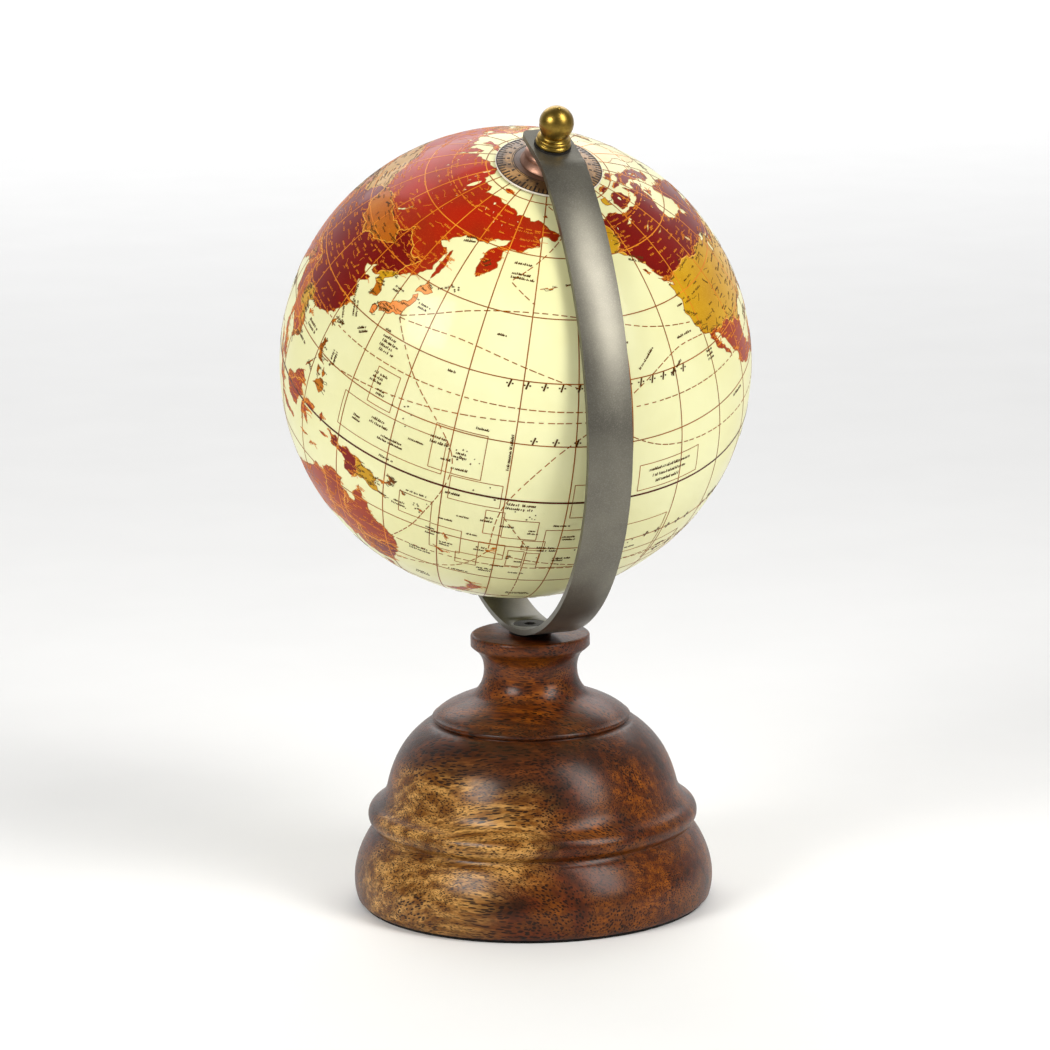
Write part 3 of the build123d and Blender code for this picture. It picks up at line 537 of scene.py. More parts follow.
ISLAND_COLOURS = {
    "coral": "hokkaido honshu kyushu shikoku",
    "amber": "taiwan luzon samar panay mindanao palawan new_britain new_ireland bougainville",
    "red": "borneo sulawesi sumatra java timor flores halmahera seram tasmania nz_north nz_south"
           " new_caledonia",
    "crimson": "novaya new_siberia wrangel sakhalin svalbard",
    "maroon": "baffin victoria ellesmere devon somerset melville southampton newfoundland vancouver"
              " haida cuba",
    "gold": "banks hawaii maui unimak adak kodiak sri_lanka hispaniola iceland sicily sardinia corsica",
    "orange": "britain ireland madagascar crete cyprus guadalcanal espiritu viti_levu vanua_levu hainan",
    "ivory": "greenland antarctica",
}

# ---------------------------------------------------------------- materials
# The board that the base is turned from lies flat, with its grain along this bearing.
GRAIN_BEARING = math.radians(48)
PLACE_GOLD = ((26, -33, 34), (32, -36, 14), (36, -22, 28), (12, -44, 32), (12, -47, 12))
PLACE_RUSSET = ((16, -11, 60), (38, 22, 38), (44, 20, 12))


def turned_wood():
    """Lacquered mango wood, golden to umber: dark pores, as dashes on side grain and dots on end grain."""
    shader = Shader("turned_wood", Coat_Weight=0.32, Coat_Roughness=0.24, Specular_IOR_Level=0.08)
    turn = (0, 0, -GRAIN_BEARING)
    wander = shader.noise(shader.place((26, 34, 34), turn), 1.0, 2.0)
    along = shader.vector("ADD", wander_vector(shader, turn), shader.place((1000, 1000, 1000), turn))

    def stretched(scale):
        return shader.add("ShaderNodeMapping", {"Vector": along, "Scale": scale}).outputs[0]

    streaks = shader.noise(stretched((0.05, 0.4, 0.4)), 1.0, 4.0, 0.6)
    bands = shader.noise(stretched((0.02, 0.11, 0.11)), 1.0, 3.0, 0.6)
    fine = shader.noise(stretched((0.25, 1.8, 1.8)), 1.0, 3.0, 0.65)
    long_pores = shader.span(shader.voronoi(stretched((0.3, 1.75, 1.75)), 1.0), 0.36, 0.45, 1.0, 0.0)
    short_pores = shader.span(shader.voronoi(stretched((0.8, 2.6, 2.6)), 1.0), 0.32, 0.44, 1.0, 0.0)
    figure = shader.span(shader.noise(stretched((0.03, 0.09, 0.09)), 1.0, 1.0), 0.44, 0.56)
    pores = shader.mix(figure, short_pores, long_pores)
    umber, brown, russet = srgb(50, 22, 5), srgb(112, 58, 12), srgb(98, 42, 12)
    orange, gold, pale = srgb(150, 80, 16), srgb(156, 98, 30), srgb(206, 154, 82)
    body = shader.ramp(bands, (0.34, umber), (0.45, russet), (0.55, brown), (0.7, orange))
    golden = shader.mix(shader.span(streaks, 0.35, 0.66), gold, pale)
    body = shader.mix(zone(shader, PLACE_GOLD, 19.0, wander), body, golden)
    reddish = shader.mix(shader.span(streaks, 0.3, 0.7), russet, orange)
    body = shader.mix(zone(shader, PLACE_RUSSET, 15.0, wander), body, reddish)
    height = shader.add("ShaderNodeSeparateXYZ", {0: shader.place()}).outputs["Z"]
    drift = shader.math("ADD", height, shader.span(wander, 0.0, 1.0, -5.0, 5.0, False))
    crown = shader.math("MULTIPLY", shader.span(drift, 39, 43), shader.span(drift, 56, 51))
    dark_band = shader.mix(shader.span(streaks, 0.4, 0.7), srgb(50, 22, 6), srgb(98, 48, 14))
    body = shader.mix(shader.math("MULTIPLY", crown, 0.8), body, dark_band)
    shade = shader.span(streaks, 0.3, 0.66, 0.55, 0.0)
    body = shader.mix(shade, body, umber)
    body = shader.mix(shader.span(fine, 0.36, 0.6, 0.5, 0.0), body, umber)
    body = shader.mix(shader.math("MULTIPLY", pores, 0.92), body, srgb(22, 9, 2))
    shader.feed("Base Color", body)
    shader.feed("Roughness", shader.span(fine, 0.2, 0.8, 0.36, 0.52))
    shader.bump(shader.math("SUBTRACT", shader.math("MULTIPLY", fine, 0.25), pores), 0.035, 0.8)
    return shader.material


def wander_vector(shader, turn):
    """A slow sideways drift, in millimetres, that bends the grain."""
    place = shader.place((22, 34, 34), turn)
    drift = shader.add("ShaderNodeTexNoise", {"Vector": place, "Scale": 1.0, "Detail": 1.0}).outputs["Color"]
    centred = shader.vector("SUBTRACT", drift, (0.5, 0.5, 0.5))
    return shader.vector("MULTIPLY", centred, (4.0, 12.0, 16.0))


def zone(shader, places, reach, wander):
    """One inside ragged blobs round some points of the base, in millimetres, and nothing outside them."""
    total = None
    here = shader.place()
    for point in places:
        away = shader.vector("DISTANCE", here, point, "Value")
        ragged = shader.math("ADD", away, shader.span(wander, 0.0, 1.0, -9.0, 9.0, False))
        inside = shader.span(ragged, reach * 0.35, reach * 1.1, 1.0, 0.0)
        total = inside if total is None else shader.math("MAXIMUM", total, inside)
    return total


def paint(name, colour, dark, roughness, metallic=0.85, sparkle=0.12):
    """Metallic paint: fine flakes and a faint orange-peel surface."""
    shader = Shader(name, Metallic=metallic)
    here = shader.place()
    flakes = shader.voronoi(here, 5.5, 1.0, "Color")
    grey = shader.add("ShaderNodeRGBToBW", {0: flakes}).outputs[0]
    cloud = shader.noise(here, 0.09, 3.0)
    tone = shader.mix(shader.span(cloud, 0.25, 0.75), dark, colour)
    bright = tuple(min(1.0, channel * (1 + 2.4 * sparkle) + 0.4 * sparkle) for channel in colour)
    shader.feed("Base Color", shader.mix(shader.span(grey, 0.45, 1.0, 0.0, sparkle * 4), tone, bright))
    shader.feed("Roughness", shader.span(grey, 0.0, 1.0, roughness - 0.06, roughness + 0.08))
    peel = shader.noise(here, 2.2, 3.0)
    shader.bump(peel, 0.006, 0.6)
    return shader.material


def lathed_metal(name, colour, tarnish, roughness, axis_turn, tarnish_share=0.5):
    """Turned metal: fine tool rings round its axis, and tarnish in soft clouds."""
    shader = Shader(name, Metallic=1.0)
    here = shader.place((1000, 1000, 1000), axis_turn)
    rings = shader.add("ShaderNodeMapping", {"Vector": here, "Scale": (0.02, 0.02, 7.0)}).outputs[0]
    tool = shader.noise(rings, 1.0, 2.0)
    cloud = shader.noise(here, 0.35, 4.0, 0.6)
    speck = shader.noise(here, 3.0, 3.0, 0.7)
    tone = shader.mix(shader.span(cloud, 0.35, 0.7, 0.0, tarnish_share), colour, tarnish)
    tone = shader.mix(shader.span(speck, 0.55, 0.8, 0.0, 0.45), tone, tarnish)
    shader.feed("Base Color", tone)
    shader.feed("Roughness", shader.span(cloud, 0.3, 0.8, roughness - 0.05, roughness + 0.14))
    shader.bump(tool, 0.012, 0.5)
    return shader.material


def brushed_steel(name, colour, roughness):
    """Bare steel with fine scratches and a zinc bloom."""
    shader = Shader(name, Metallic=1.0)
    here = shader.place()
    scratch_place = shader.add("ShaderNodeMapping", {"Vector": here, "Scale": (0.3, 6.0, 6.0)}).outputs[0]
    scratches = shader.noise(scratch_place, 1.0, 3.0)
    bloom = shader.noise(here, 0.5, 4.0)
    dull = tuple(channel * 0.55 for channel in colour)
    shader.feed("Base Color", shader.mix(shader.span(bloom, 0.35, 0.7), colour, dull))
    shader.feed("Roughness", shader.span(scratches, 0.2, 0.8, roughness - 0.06, roughness + 0.14))
    shader.bump(scratches, 0.01, 0.5)
    return shader.material


def fibre(name, colour, light, roughness, scale, bump):
    """Felt, pressed fibre or a dull plastic: matt, with a fine random grain."""
    shader = Shader(name, Specular_IOR_Level=0.3)
    here = shader.place()
    strands = shader.noise(here, scale, 5.0, 0.7, 1.5)
    clumps = shader.noise(here, scale * 0.12, 2.0)
    tone = shader.mix(shader.span(strands, 0.35, 0.7), colour, light)
    shader.feed("Base Color", shader.mix(shader.span(clumps, 0.3, 0.7, 0.0, 0.4), tone, colour))
    shader.feed("Roughness", shader.span(strands, 0.2, 0.8, roughness - 0.05, roughness + 0.05))
    shader.bump(strands, bump, 0.8)
    return shader.material


def lacquered_print(name, colour, other, speck=None, roughness=0.34, mottle=0.09):
    """A printed colour under gloss lacquer: cloudy ink, a fine dot screen and faint brush of the lacquer."""
    shader = Shader(name, Coat_Weight=0.22, Coat_Roughness=0.1, Coat_IOR=1.45, Specular_IOR_Level=0.08)
    here = shader.place()
    cloud = shader.noise(here, mottle, 4.0, 0.55)
    screen = shader.noise(here, 3.4, 2.0, 0.5)
    tone = shader.mix(shader.span(cloud, 0.3, 0.7), colour, other)
    if speck:
        tone = shader.mix(shader.span(screen, 0.5, 0.72, 0.0, 0.35), tone, speck)
    shader.feed("Base Color", tone)
    shader.feed("Roughness", shader.span(screen, 0.2, 0.8, roughness - 0.03, roughness + 0.04))
    shader.bump(shader.noise(here, 0.5, 2.0), 0.006, 0.35)
    return shader.material


def dial_card():
    """The hour dial's print: bronze-brown with golden clouds, a darker inner ring that also holds painted
    shade round the ferrule's base, and a pale cut edge that also holds a painted highlight along the rim.
    """
    shader = Shader("dial_card", Roughness=0.42, Coat_Weight=0.4, Coat_Roughness=0.25)
    here = shader.place()
    cloud = shader.noise(here, 0.22, 4.0, 0.6)
    speck = shader.noise(here, 2.0, 3.0, 0.6)
    centre = tuple(value / MM for value in CENTRE)
    cross = shader.vector("CROSS_PRODUCT", shader.vector("SUBTRACT", here, centre), tuple(POLE))
    radius = shader.vector("LENGTH", cross, output="Value")
    tone = shader.mix(shader.span(cloud, 0.36, 0.66), srgb(92, 64, 34), srgb(178, 132, 72))
    tone = shader.mix(shader.span(speck, 0.45, 0.75, 0.0, 0.4), tone, srgb(60, 44, 28))
    # Inside the scale the print turns darker: partly the print's own inner ring, partly painted shade round
    # the ferrule's base.
    ring = shader.mix(cloud, srgb(52, 34, 24), srgb(120, 84, 62))
    tone = shader.mix(shader.span(radius, 9.6, 9.2), tone, ring)
    # The pale band at the outer rim is a painted highlight along the dial's edge, laid over its pale cut
    # edge.
    tone = shader.mix(shader.span(radius, 14.02, 14.1), tone, srgb(236, 228, 214))
    shader.feed("Base Color", tone)
    shader.bump(speck, 0.01, 0.4)
    return shader.material


# ---------------------------------------------------------------- print on the ball


def directions(lonlat):
    """Unit vectors for rows of (longitude, latitude) in degrees."""
    lonlat = np.asarray(lonlat, float).reshape(-1, 2)
    turn = np.radians(lonlat[:, 0] - LON_AT_FORWARD)[:, None]
    rise = np.radians(lonlat[:, 1])[:, None]
    flat = np.cos(turn) * np.array(FORWARD) + np.sin(turn) * np.array(ACROSS)
    return flat * np.cos(rise) + np.sin(rise) * np.array(POLE)


def skin(name, unit, faces, span, material, body="globe"):
    """A closed skin between two radii round the ball's centre. faces run anticlockwise from outside."""
    count = len(unit)
    low, high = span
    places = np.concatenate([unit * high, unit * low]) * MM + np.array(CENTRE)
    edges = {(face[i - 1], face[i]) for face in faces for i in range(len(face))}
    rims = sorted(edge for edge in edges if (edge[1], edge[0]) not in edges)
    walls = [(b, a, a + count, b + count) for a, b in rims]
    under = [tuple(index + count for index in reversed(face)) for face in faces]
    mesh = bpy.data.meshes.new(name)
    mesh.from_pydata(places.tolist(), [], [tuple(face) for face in faces] + under + walls)
    mesh.update()
    obj = bpy.data.objects.new(name, mesh)
    bpy.context.scene.collection.objects.link(obj)
    round_normals(mesh, unit, len(faces))
    mesh.materials.append(material)
    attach(obj, body)
    return obj


def round_normals(mesh, unit, count):
    """The skin shades as part of the ball: its top and underside take the ball's own normals."""
    mesh.polygons.foreach_set("use_smooth", [True] * len(mesh.polygons))
    size = len(unit)
    normals = []
    for polygon in mesh.polygons:
        for vertex in polygon.vertices:
            if polygon.index < count:
                normals.append(unit[vertex])
            elif polygon.index < 2 * count:
                normals.append(-unit[vertex - size])
            else:
                normals.append(tuple(polygon.normal))
    mesh.normals_split_custom_set(normals)


def read_line(text):
    """'lon lat, lon lat, ...' as a list of pairs."""
    return [tuple(float(value) for value in pair.split()) for pair in text.split(",")]


def roughen(line, closed, amount, longest, seed):
    """Splits long runs at points moved a little sideways, as a coast or a river border wanders."""
    draw = random.Random(seed)
    points = list(line)
    if closed:
        points.append(points[0])
    moved = True
    while moved:
        moved = False
        finer = [points[0]]
        for start, end in zip(points, points[1:]):
            narrow = math.cos(math.radians((start[1] + end[1]) / 2))
            east = (end[0] - start[0]) * narrow
            north = end[1] - start[1]
            length = math.hypot(east, north)
            if length > longest:
                side = draw.uniform(-amount, amount)
                share = draw.uniform(0.42, 0.58)
                lon = start[0] + (end[0] - start[0]) * share - north * side / narrow
                lat = start[1] + north * share + east * side
                finer.append((lon, lat))
                moved = True
            finer.append(end)
        points = finer
    return points[:-1] if closed else points


def inside(points, outline):
    """Which points lie inside a closed outline, by counting crossings."""
    points = np.asarray(points, float)
    ring = np.asarray(outline, float)
    before = np.roll(ring, 1, axis=0)
    crossings = np.zeros(len(points), int)
    for (x0, y0), (x1, y1) in zip(before, ring):
        if y0 == y1:
            continue
        hit = (points[:, 1] > min(y0, y1)) & (points[:, 1] <= max(y0, y1))
        where = x0 + (points[:, 1] - y0) / (y1 - y0) * (x1 - x0)
        crossings += hit & (points[:, 0] < where)
    return crossings % 2 == 1


class Atlas:
    """The printed countries: a triangle mesh in longitude and latitude, with a colour for each triangle."""

    STEP = 2.2
    ROUGHNESS = 0.2
    STRAIGHT = 0.05

    def __init__(self):
        self.outlines = {}
        for name, text in LAND.items():
            amount = self.STRAIGHT if name == "antarctica" else self.ROUGHNESS
            self.outlines[name] = roughen(read_line(text), True, amount, 1.1, name)
        self.lakes = {}
        for name, text in LAKES.items():
            self.lakes[name] = roughen(read_line(text), True, 0.12, 1.1, name)
        self.mesh()
        self.colour_in()

    def is_land(self, points):
        points = np.asarray(points, float)
        result = np.zeros(len(points), bool)
        for turn in (0, 360, -360):
            for outline in self.outlines.values():
                result |= inside(points + np.array([turn, 0]), outline)
        return result

    def mesh(self):
        """Fills points, triangles, owner, coast, borders and neighbours."""
        points = []
        edges = []
        for index, text in enumerate(BORDERS.split(";")):
            line = roughen(read_line(text), False, self.ROUGHNESS, 0.9, index)
            edges.extend((len(points) + i, len(points) + i + 1) for i in range(len(line) - 1))
            points.extend(line)
        border_count = len(edges)
        for outline in [*self.outlines.values(), *self.lakes.values()]:
            ring = range(len(points), len(points) + len(outline))
            edges.extend((ring[i - 1], ring[i]) for i in range(len(ring)))
            points.extend(outline)
        grid = []
        for lat in np.arange(-84.0, 83.0, self.STEP):
            step = self.STEP / math.cos(math.radians(lat))
            grid.extend((lon, lat) for lon in np.arange(-180 + step / 2, 192, step))
        grid = np.array(grid)
        kept = np.zeros(len(grid), bool)
        for outline in self.outlines.values():
            kept |= inside(grid, outline)
        points.extend(map(tuple, grid[kept]))
        result = delaunay_2d_cdt([Vector(point) for point in points], edges, [], 0, 1e-4, True)
        self.points = np.array([tuple(v) for v in result[0]])
        border_edges = set()
        for edge, sources in zip(result[1], result[4]):
            if any(source < border_count for source in sources):
                border_edges.add(frozenset(edge))
        faces = np.array([tuple(face) for face in result[2]])
        corners = self.points[faces]
        across = corners[:, 1] - corners[:, 0]
        rise = corners[:, 2] - corners[:, 0]
        area = across[:, 0] * rise[:, 1] - across[:, 1] * rise[:, 0]
        faces[area < 0] = faces[area < 0][:, ::-1]
        middles = corners.mean(axis=1)
        owner = np.full(len(faces), "", dtype=object)
        for name, outline in self.outlines.items():
            owner[inside(middles, outline) & (owner == "")] = name
        for outline in self.lakes.values():
            owner[inside(middles, outline)] = ""
        kept = (owner != "") & (abs(area) > 1e-9)
        self.triangles = [tuple(int(i) for i in face) for face in faces[kept]]
        self.owner = list(owner[kept])
        sides = {}
        for index, face in enumerate(self.triangles):
            for i in range(3):
                sides.setdefault(frozenset((face[i - 1], face[i])), []).append(index)
        self.coast = [tuple(edge) for edge, found in sides.items() if len(found) == 1]
        self.borders = [tuple(edge) for edge in border_edges if len(sides.get(edge, [])) == 2]
        self.coast.sort()
        self.borders.sort()
        self.neighbours = [[] for _ in self.triangles]
        for edge, found in sides.items():
            if len(found) == 2 and edge not in border_edges:
                self.neighbours[found[0]].append(found[1])
                self.neighbours[found[1]].append(found[0])

    def colour_in(self):
        """Islands by name, countries by a flood from each seed, and the rest from the nearest triangle."""
        by_name = {n: colour for colour, names in ISLAND_COLOURS.items() for n in names.split()}
        self.colours = [by_name.get(owner) for owner in self.owner]
        corners = self.points[np.array(self.triangles)]
        for seed in SEEDS.split(","):
            colour, lon, lat = seed.split()
            self.flood(corners, (float(lon), float(lat)), colour)
        middles = corners.mean(axis=1)
        known = np.array([colour is not None for colour in self.colours])
        for index in np.nonzero(~known)[0]:
            away = ((middles[known] - middles[index]) ** 2).sum(axis=1)
            source = np.nonzero(known)[0][away.argmin()]
            self.colours[index] = self.colours[source]

    def flood(self, corners, spot, colour):
        """Colours the triangle that holds the spot and all that it reaches without crossing a border."""
        a, b, c = corners[:, 0], corners[:, 1], corners[:, 2]
        held = np.ones(len(corners), bool)
        for first, second in ((a, b), (b, c), (c, a)):
            side = (second[:, 0] - first[:, 0]) * (spot[1] - first[:, 1])
            side -= (second[:, 1] - first[:, 1]) * (spot[0] - first[:, 0])
            held &= side >= 0
        waiting = [int(i) for i in np.nonzero(held)[0][:1]]
        seen = set(waiting)
        while waiting:
            index = waiting.pop()
            self.colours[index] = colour
            for other in self.neighbours[index]:
                if other not in seen:
                    seen.add(other)
                    waiting.append(other)


def land_pieces(atlas):
    """One skin of ink for each colour."""
    for colour in sorted(set(atlas.colours)):
        chosen = [t for t, c in zip(atlas.triangles, atlas.colours) if c == colour]
        used = sorted({index for face in chosen for index in face})
        renumber = {old: new for new, old in enumerate(used)}
        faces = [tuple(renumber[index] for index in face) for face in chosen]
        main, other, speck = INKS[colour]
        material = lacquered_print("ink_" + colour, main, other, speck)
        skin("land_" + colour, directions(atlas.points[used]), faces, PRINT_LAND, material)


class Strokes:
    """Thin straight strokes printed on the ball, gathered into one piece."""

    def __init__(self):
        self.points = []
        self.faces = []

    def line(self, start, end, width, extend=0.0):
        """A stroke between two (lon, lat) points. width and extend are in millimetres."""
        a, b = directions([start, end]) * SHELL_OUTER
        along = b - a
        length = np.linalg.norm(along)
        if length < 1e-6:
            return
        along /= length
        out = (a + b) / np.linalg.norm(a + b)
        side = np.cross(out, along) * width / 2
        a = a - along * extend
        b = b + along * extend
        self.quad([a - side, b - side, b + side, a + side])

    def quad(self, corners):
        """One four-sided stroke. corners run anticlockwise from outside."""
        base = len(self.points)
        self.points.extend(corners)
        self.faces.append((base, base + 1, base + 2, base + 3))

    def trail(self, points, width, dash=None, gap=0.0):
        """A smooth line through close (lon, lat) points, whole or dashed by length in millimetres."""
        travelled = 0.0
        for start, end in zip(points, points[1:]):
            a, b = directions([start, end]) * SHELL_OUTER
            length = float(np.linalg.norm(b - a))
            if dash is None or travelled % (dash + gap) < dash:
                self.line(start, end, width, OVERLAP)
            travelled += length

    def piece(self, name, span, material, body="globe", slot="map_paper"):
        """All the strokes as one skin of ink."""
        corners = np.array(self.points)
        unit = corners / np.linalg.norm(corners, axis=1)[:, None]
        skin(name, unit, self.faces, span, material, body)


def run_between(start, end, step):
    """Close points from start to end, straight in longitude and latitude."""
    narrow = math.cos(math.radians((start[1] + end[1]) / 2))
    length = math.hypot((end[0] - start[0]) * narrow, end[1] - start[1])
    count = max(1, round(length / step))
    return [tuple(start[k] + (end[k] - start[k]) * i / count for k in (0, 1)) for i in range(count + 1)]


def steps(atlas, path):
    """Each short step of a path, with whether its middle is over land."""
    pairs = list(zip(path, path[1:]))
    middles = [((a[0] + b[0]) / 2, (a[1] + b[1]) / 2) for a, b in pairs]
    return [(over_land, start, end) for over_land, (start, end) in zip(atlas.is_land(middles), pairs)]


def grid_lines(atlas):
    """Meridians and parallels, gold over land and brown over sea, a strong equator and dashed tropics."""
    spacing = 15
    land, sea, equator = Strokes(), Strokes(), Strokes()
    paths = []
    for lon in range(-180, 180, spacing):
        paths.append(run_between((lon, -75), (lon, 82), 1.5))
    for lat in range(-75, 76, spacing):
        if lat:
            paths.append([(lon, lat) for lon in np.arange(-180, 180.1, 1.5)])
    for path in paths:
        for over_land, start, end in steps(atlas, path):
            (land if over_land else sea).line(start, end, GRID_WIDTH, OVERLAP)
    for lon in np.arange(-180, 180, 1.5):
        equator.line((lon, 0), (lon + 1.5, 0), EQUATOR_WIDTH, OVERLAP)
    for lat in (23.4, -23.4, 66.6, -66.6):
        path = [(lon, lat) for lon in np.arange(-180, 180.1, 0.6)]
        travelled = 0.0
        step = math.radians(0.6) * SHELL_OUTER * math.cos(math.radians(lat))
        for over_land, start, end in steps(atlas, path):
            if travelled % (TROPIC_DASH + TROPIC_GAP) < TROPIC_DASH:
                (land if over_land else sea).line(start, end, TROPIC_WIDTH, OVERLAP)
            travelled += step
    return land, sea, equator


# ---------------------------------------------------------------- routes, frames and rows of tiny strokes
DATE_LINE = """180 -60, 180 -46, -172.5 -44, -172.5 -15, 180 -5, 180 48, 170 52.5, -169 65.5, -169 72,
    180 75, 180 80"""
ROUTES = (
    "140 35, 160 43, 180 46, 200 45, 220 41, 236 38",
    "140 34.5, 160 36, 180 33, 200 27, 202 21.5",
    "202 21.5, 215 29, 228 34, 241 33.6",
    "202 21, 190 12, 180 -2, 178 -17",
    "202 21, 220 12, 250 9, 280 8.5",
    "121 14, 145 17, 175 20, 202 21",
    "178 -18, 170 -27, 152 -33.5",
    "151.5 -24, 160 -12, 166 8, 150 25, 140 34.5",
    "178 -18, 200 -22, 240 -26, 288 -33",
    "-74 40, -50 45, -30 48, -6 49.5",
    "-75 36, -60 30, -35 15, -18 14",
    "-43 -23, -20 -10, -16 12, -18 28, -10 36",
    "18 -34.5, -10 -20, -35 -8",
    "32 -30, 60 -20, 80 -2, 95 6",
    "50 12, 65 10, 80 5",
    "115 -32, 90 -30, 50 -34, 20 -36",
)
# left, bottom, right, top of the thin frames round island groups
FRAMES = (
    (141, 13, 148, 22), (134, 3, 164, 12), (160.5, 4, 173.5, 15.5), (166.5, -3, 179, 3.5),
    (176, -11.5, 180.5, -4), (180.5, -12, 189, -6), (163, -21, 171, -12.5), (175.5, -20.5, 182, -14.8),
    (183, -23, 187, -16.5), (186, -15.8, 191.5, -12.4), (154.5, -12.2, 163, -5.8), (191, -23, 203, -8.5),
    (187.5, -21.5, 190.8, -17), (196, -4.5, 206, 5), (205, -20, 224, -9), (224, -27, 234, -20),
    (170, -25, 175.5, -20.5),
)
# longitude, latitude, rows, marks in a row, height in millimetres, heading
LABELS = (
    (146, 59.2, 2, 7, 0.8, 20), (158.5, 55.5, 2, 5, 0.75, 40), (173.5, 57.6, 1, 9, 0.8, 0),
    (174, 54.4, 2, 12, 0.75, 0), (141, 27.6, 4, 9, 0.85, 0), (142, 19.6, 3, 8, 0.8, 0),
    (146, 9.6, 2, 10, 0.9, 0), (150, 6.4, 2, 16, 0.75, 0), (162, 11.7, 2, 9, 1.0, 0),
    (168, 5.8, 1, 9, 0.8, 0), (168, -1.2, 1, 8, 0.85, 0), (176.7, -6.6, 2, 6, 0.85, 0),
    (181.5, -8, 1, 8, 0.85, 0), (184, -1.6, 2, 13, 0.9, 0), (163.6, -15, 3, 7, 0.75, 0),
    (176, -17.2, 2, 5, 0.8, 0), (155, -9.6, 2, 9, 0.75, 0), (183.1, -19, 2, 4, 0.75, 0),
    (186.3, -14.2, 1, 6, 0.75, 0), (192, -15, 2, 9, 0.85, 0), (206, -15, 3, 15, 0.8, 0),
    (160, -24, 2, 12, 0.8, 0), (178, -26, 2, 8, 0.8, 0), (226.5, 57.5, 2, 9, 0.8, -30),
    (203, 21.3, 2, 7, 0.8, 0), (122.6, 31.6, 1, 12, 0.75, -62), (121.6, 27.4, 1, 14, 0.75, -50),
    (125.6, 29.5, 2, 9, 0.75, -55), (123.3, 24.6, 1, 8, 0.75, 20), (131, 27, 2, 8, 0.75, 35),
    (126.8, 16, 2, 9, 0.85, -85), (114, 17.6, 2, 9, 0.9, 0), (112, 12.5, 1, 8, 0.75, 0),
    (134, 39.8, 2, 6, 0.75, 0), (147.5, 45.4, 1, 8, 0.7, 35), (145, 39.5, 2, 7, 0.7, 0),
    (138.5, 30.7, 1, 6, 0.7, 0), (160.5, 28.5, 1, 6, 0.7, 0), (172, 39.8, 1, 8, 0.7, 0),
    (208, 39, 1, 13, 0.8, 0), (216, 34.4, 1, 15, 0.75, 42), (225.5, 30, 1, 12, 0.75, 33),
    (240, 28.6, 3, 6, 0.75, 0), (235, 43, 1, 7, 0.7, 0), (232, 36.4, 1, 10, 0.75, 0),
    (250, 14, 1, 11, 0.8, 0), (262, -5, 1, 9, 0.8, 0), (246, -14, 2, 10, 0.8, 0), (258, -28, 1, 12, 0.8, 0),
    (-90, 25, 2, 10, 0.9, 0), (-78, 15.5, 1, 13, 0.9, 0), (-68, 34, 2, 9, 0.8, 0), (-52, 60, 2, 7, 0.8, 0),
    (-30, 36, 2, 9, 0.8, 0), (-28, 10, 1, 12, 0.8, 0), (-18, -8, 2, 8, 0.8, 0), (-4, -38, 2, 10, 0.8, 0),
    (3, 57, 1, 8, 0.8, 0), (17, 33.9, 1, 9, 0.8, 0), (62, 16, 2, 9, 0.9, 0), (88, 14, 2, 9, 0.9, 0),
    (78, -8, 2, 12, 0.9, 0), (95, -30, 2, 10, 0.8, 0), (179.1, 12.5, 1, 20, 0.8, 90),
    (158, -4.6, 1, 10, 0.7, 0), (170.6, -7.4, 1, 8, 0.7, 0), (167, -9.6, 1, 8, 0.7, 0),
    (173.4, -12.6, 1, 8, 0.7, 0), (187.4, -9.2, 2, 5, 0.7, 0), (194, -6.8, 1, 9, 0.7, 0),
    (197.5, -11, 2, 9, 0.7, 0), (167, -18.4, 2, 7, 0.7, 0), (180.5, -23.4, 1, 9, 0.7, 0),
    (196.5, -19.2, 2, 9, 0.7, 0), (171, -29, 1, 10, 0.7, 0), (186, -26, 1, 10, 0.7, 0),
    (214, -18, 1, 12, 0.7, 0), (228, -22.6, 1, 9, 0.7, 0), (150, 1.6, 1, 10, 0.75, 0),
    (157, 9.3, 1, 12, 0.7, 0), (139.4, 7.6, 2, 7, 0.75, 0), (144, 16.6, 2, 6, 0.75, 0),
    (172, 17.2, 1, 8, 0.75, 0), (167.6, 9.4, 2, 8, 0.75, 0), (164, 7.4, 1, 6, 0.75, 0),
    (200.8, 1.6, 1, 9, 0.75, 0), (186.4, -20.6, 1, 5, 0.7, 0), (132, -42, 2, 12, 0.8, 0),
    (160, -38, 2, 8, 0.9, 0), (190, -40, 2, 12, 0.8, 0), (230, -45, 2, 12, 0.8, 0),
)
# longitude of the first mark, latitude, marks, spacing in degrees, height in millimetres
BANNERS = (
    (176.4, 29.0, 5, 4.7, 2.0), (205.8, 29.0, 7, 3.7, 2.0), (184.6, 16.0, 5, 5.4, 2.0),
    (219.5, -14.8, 5, 3.6, 1.9), (241, -14.8, 7, 3.6, 1.9), (228, -25, 5, 5.0, 1.9),
    (-62, 24, 5, 4.2, 1.9), (-40, 24, 8, 3.4, 1.9), (-22, -22, 5, 4.2, 1.9), (-24, -29, 8, 3.4, 1.9),
    (66, -14, 6, 4.2, 2.0), (68, -22, 5, 5.0, 2.0), (170, -52, 8, 6.0, 1.9),
)
# left, bottom, right, top of the boxed legend
LEGEND = (212.5, 1.2, 231.0, 8.2)
# longitude, latitude, dots and spread in degrees of the scattered islets
ISLETS = (
    (168.5, 8.8, 12, 4), (186, -4, 8, 3), (204, 20.5, 6, 2), (159, -8.5, 9, 4), (150, 14, 8, 5),
    (176, 1, 6, 3), (210, -16, 16, 8), (196, -20, 8, 4), (152, 46, 7, 3), (-62, 15, 9, 4), (73, 4, 8, 3),
    (-17, 28, 5, 2),
)


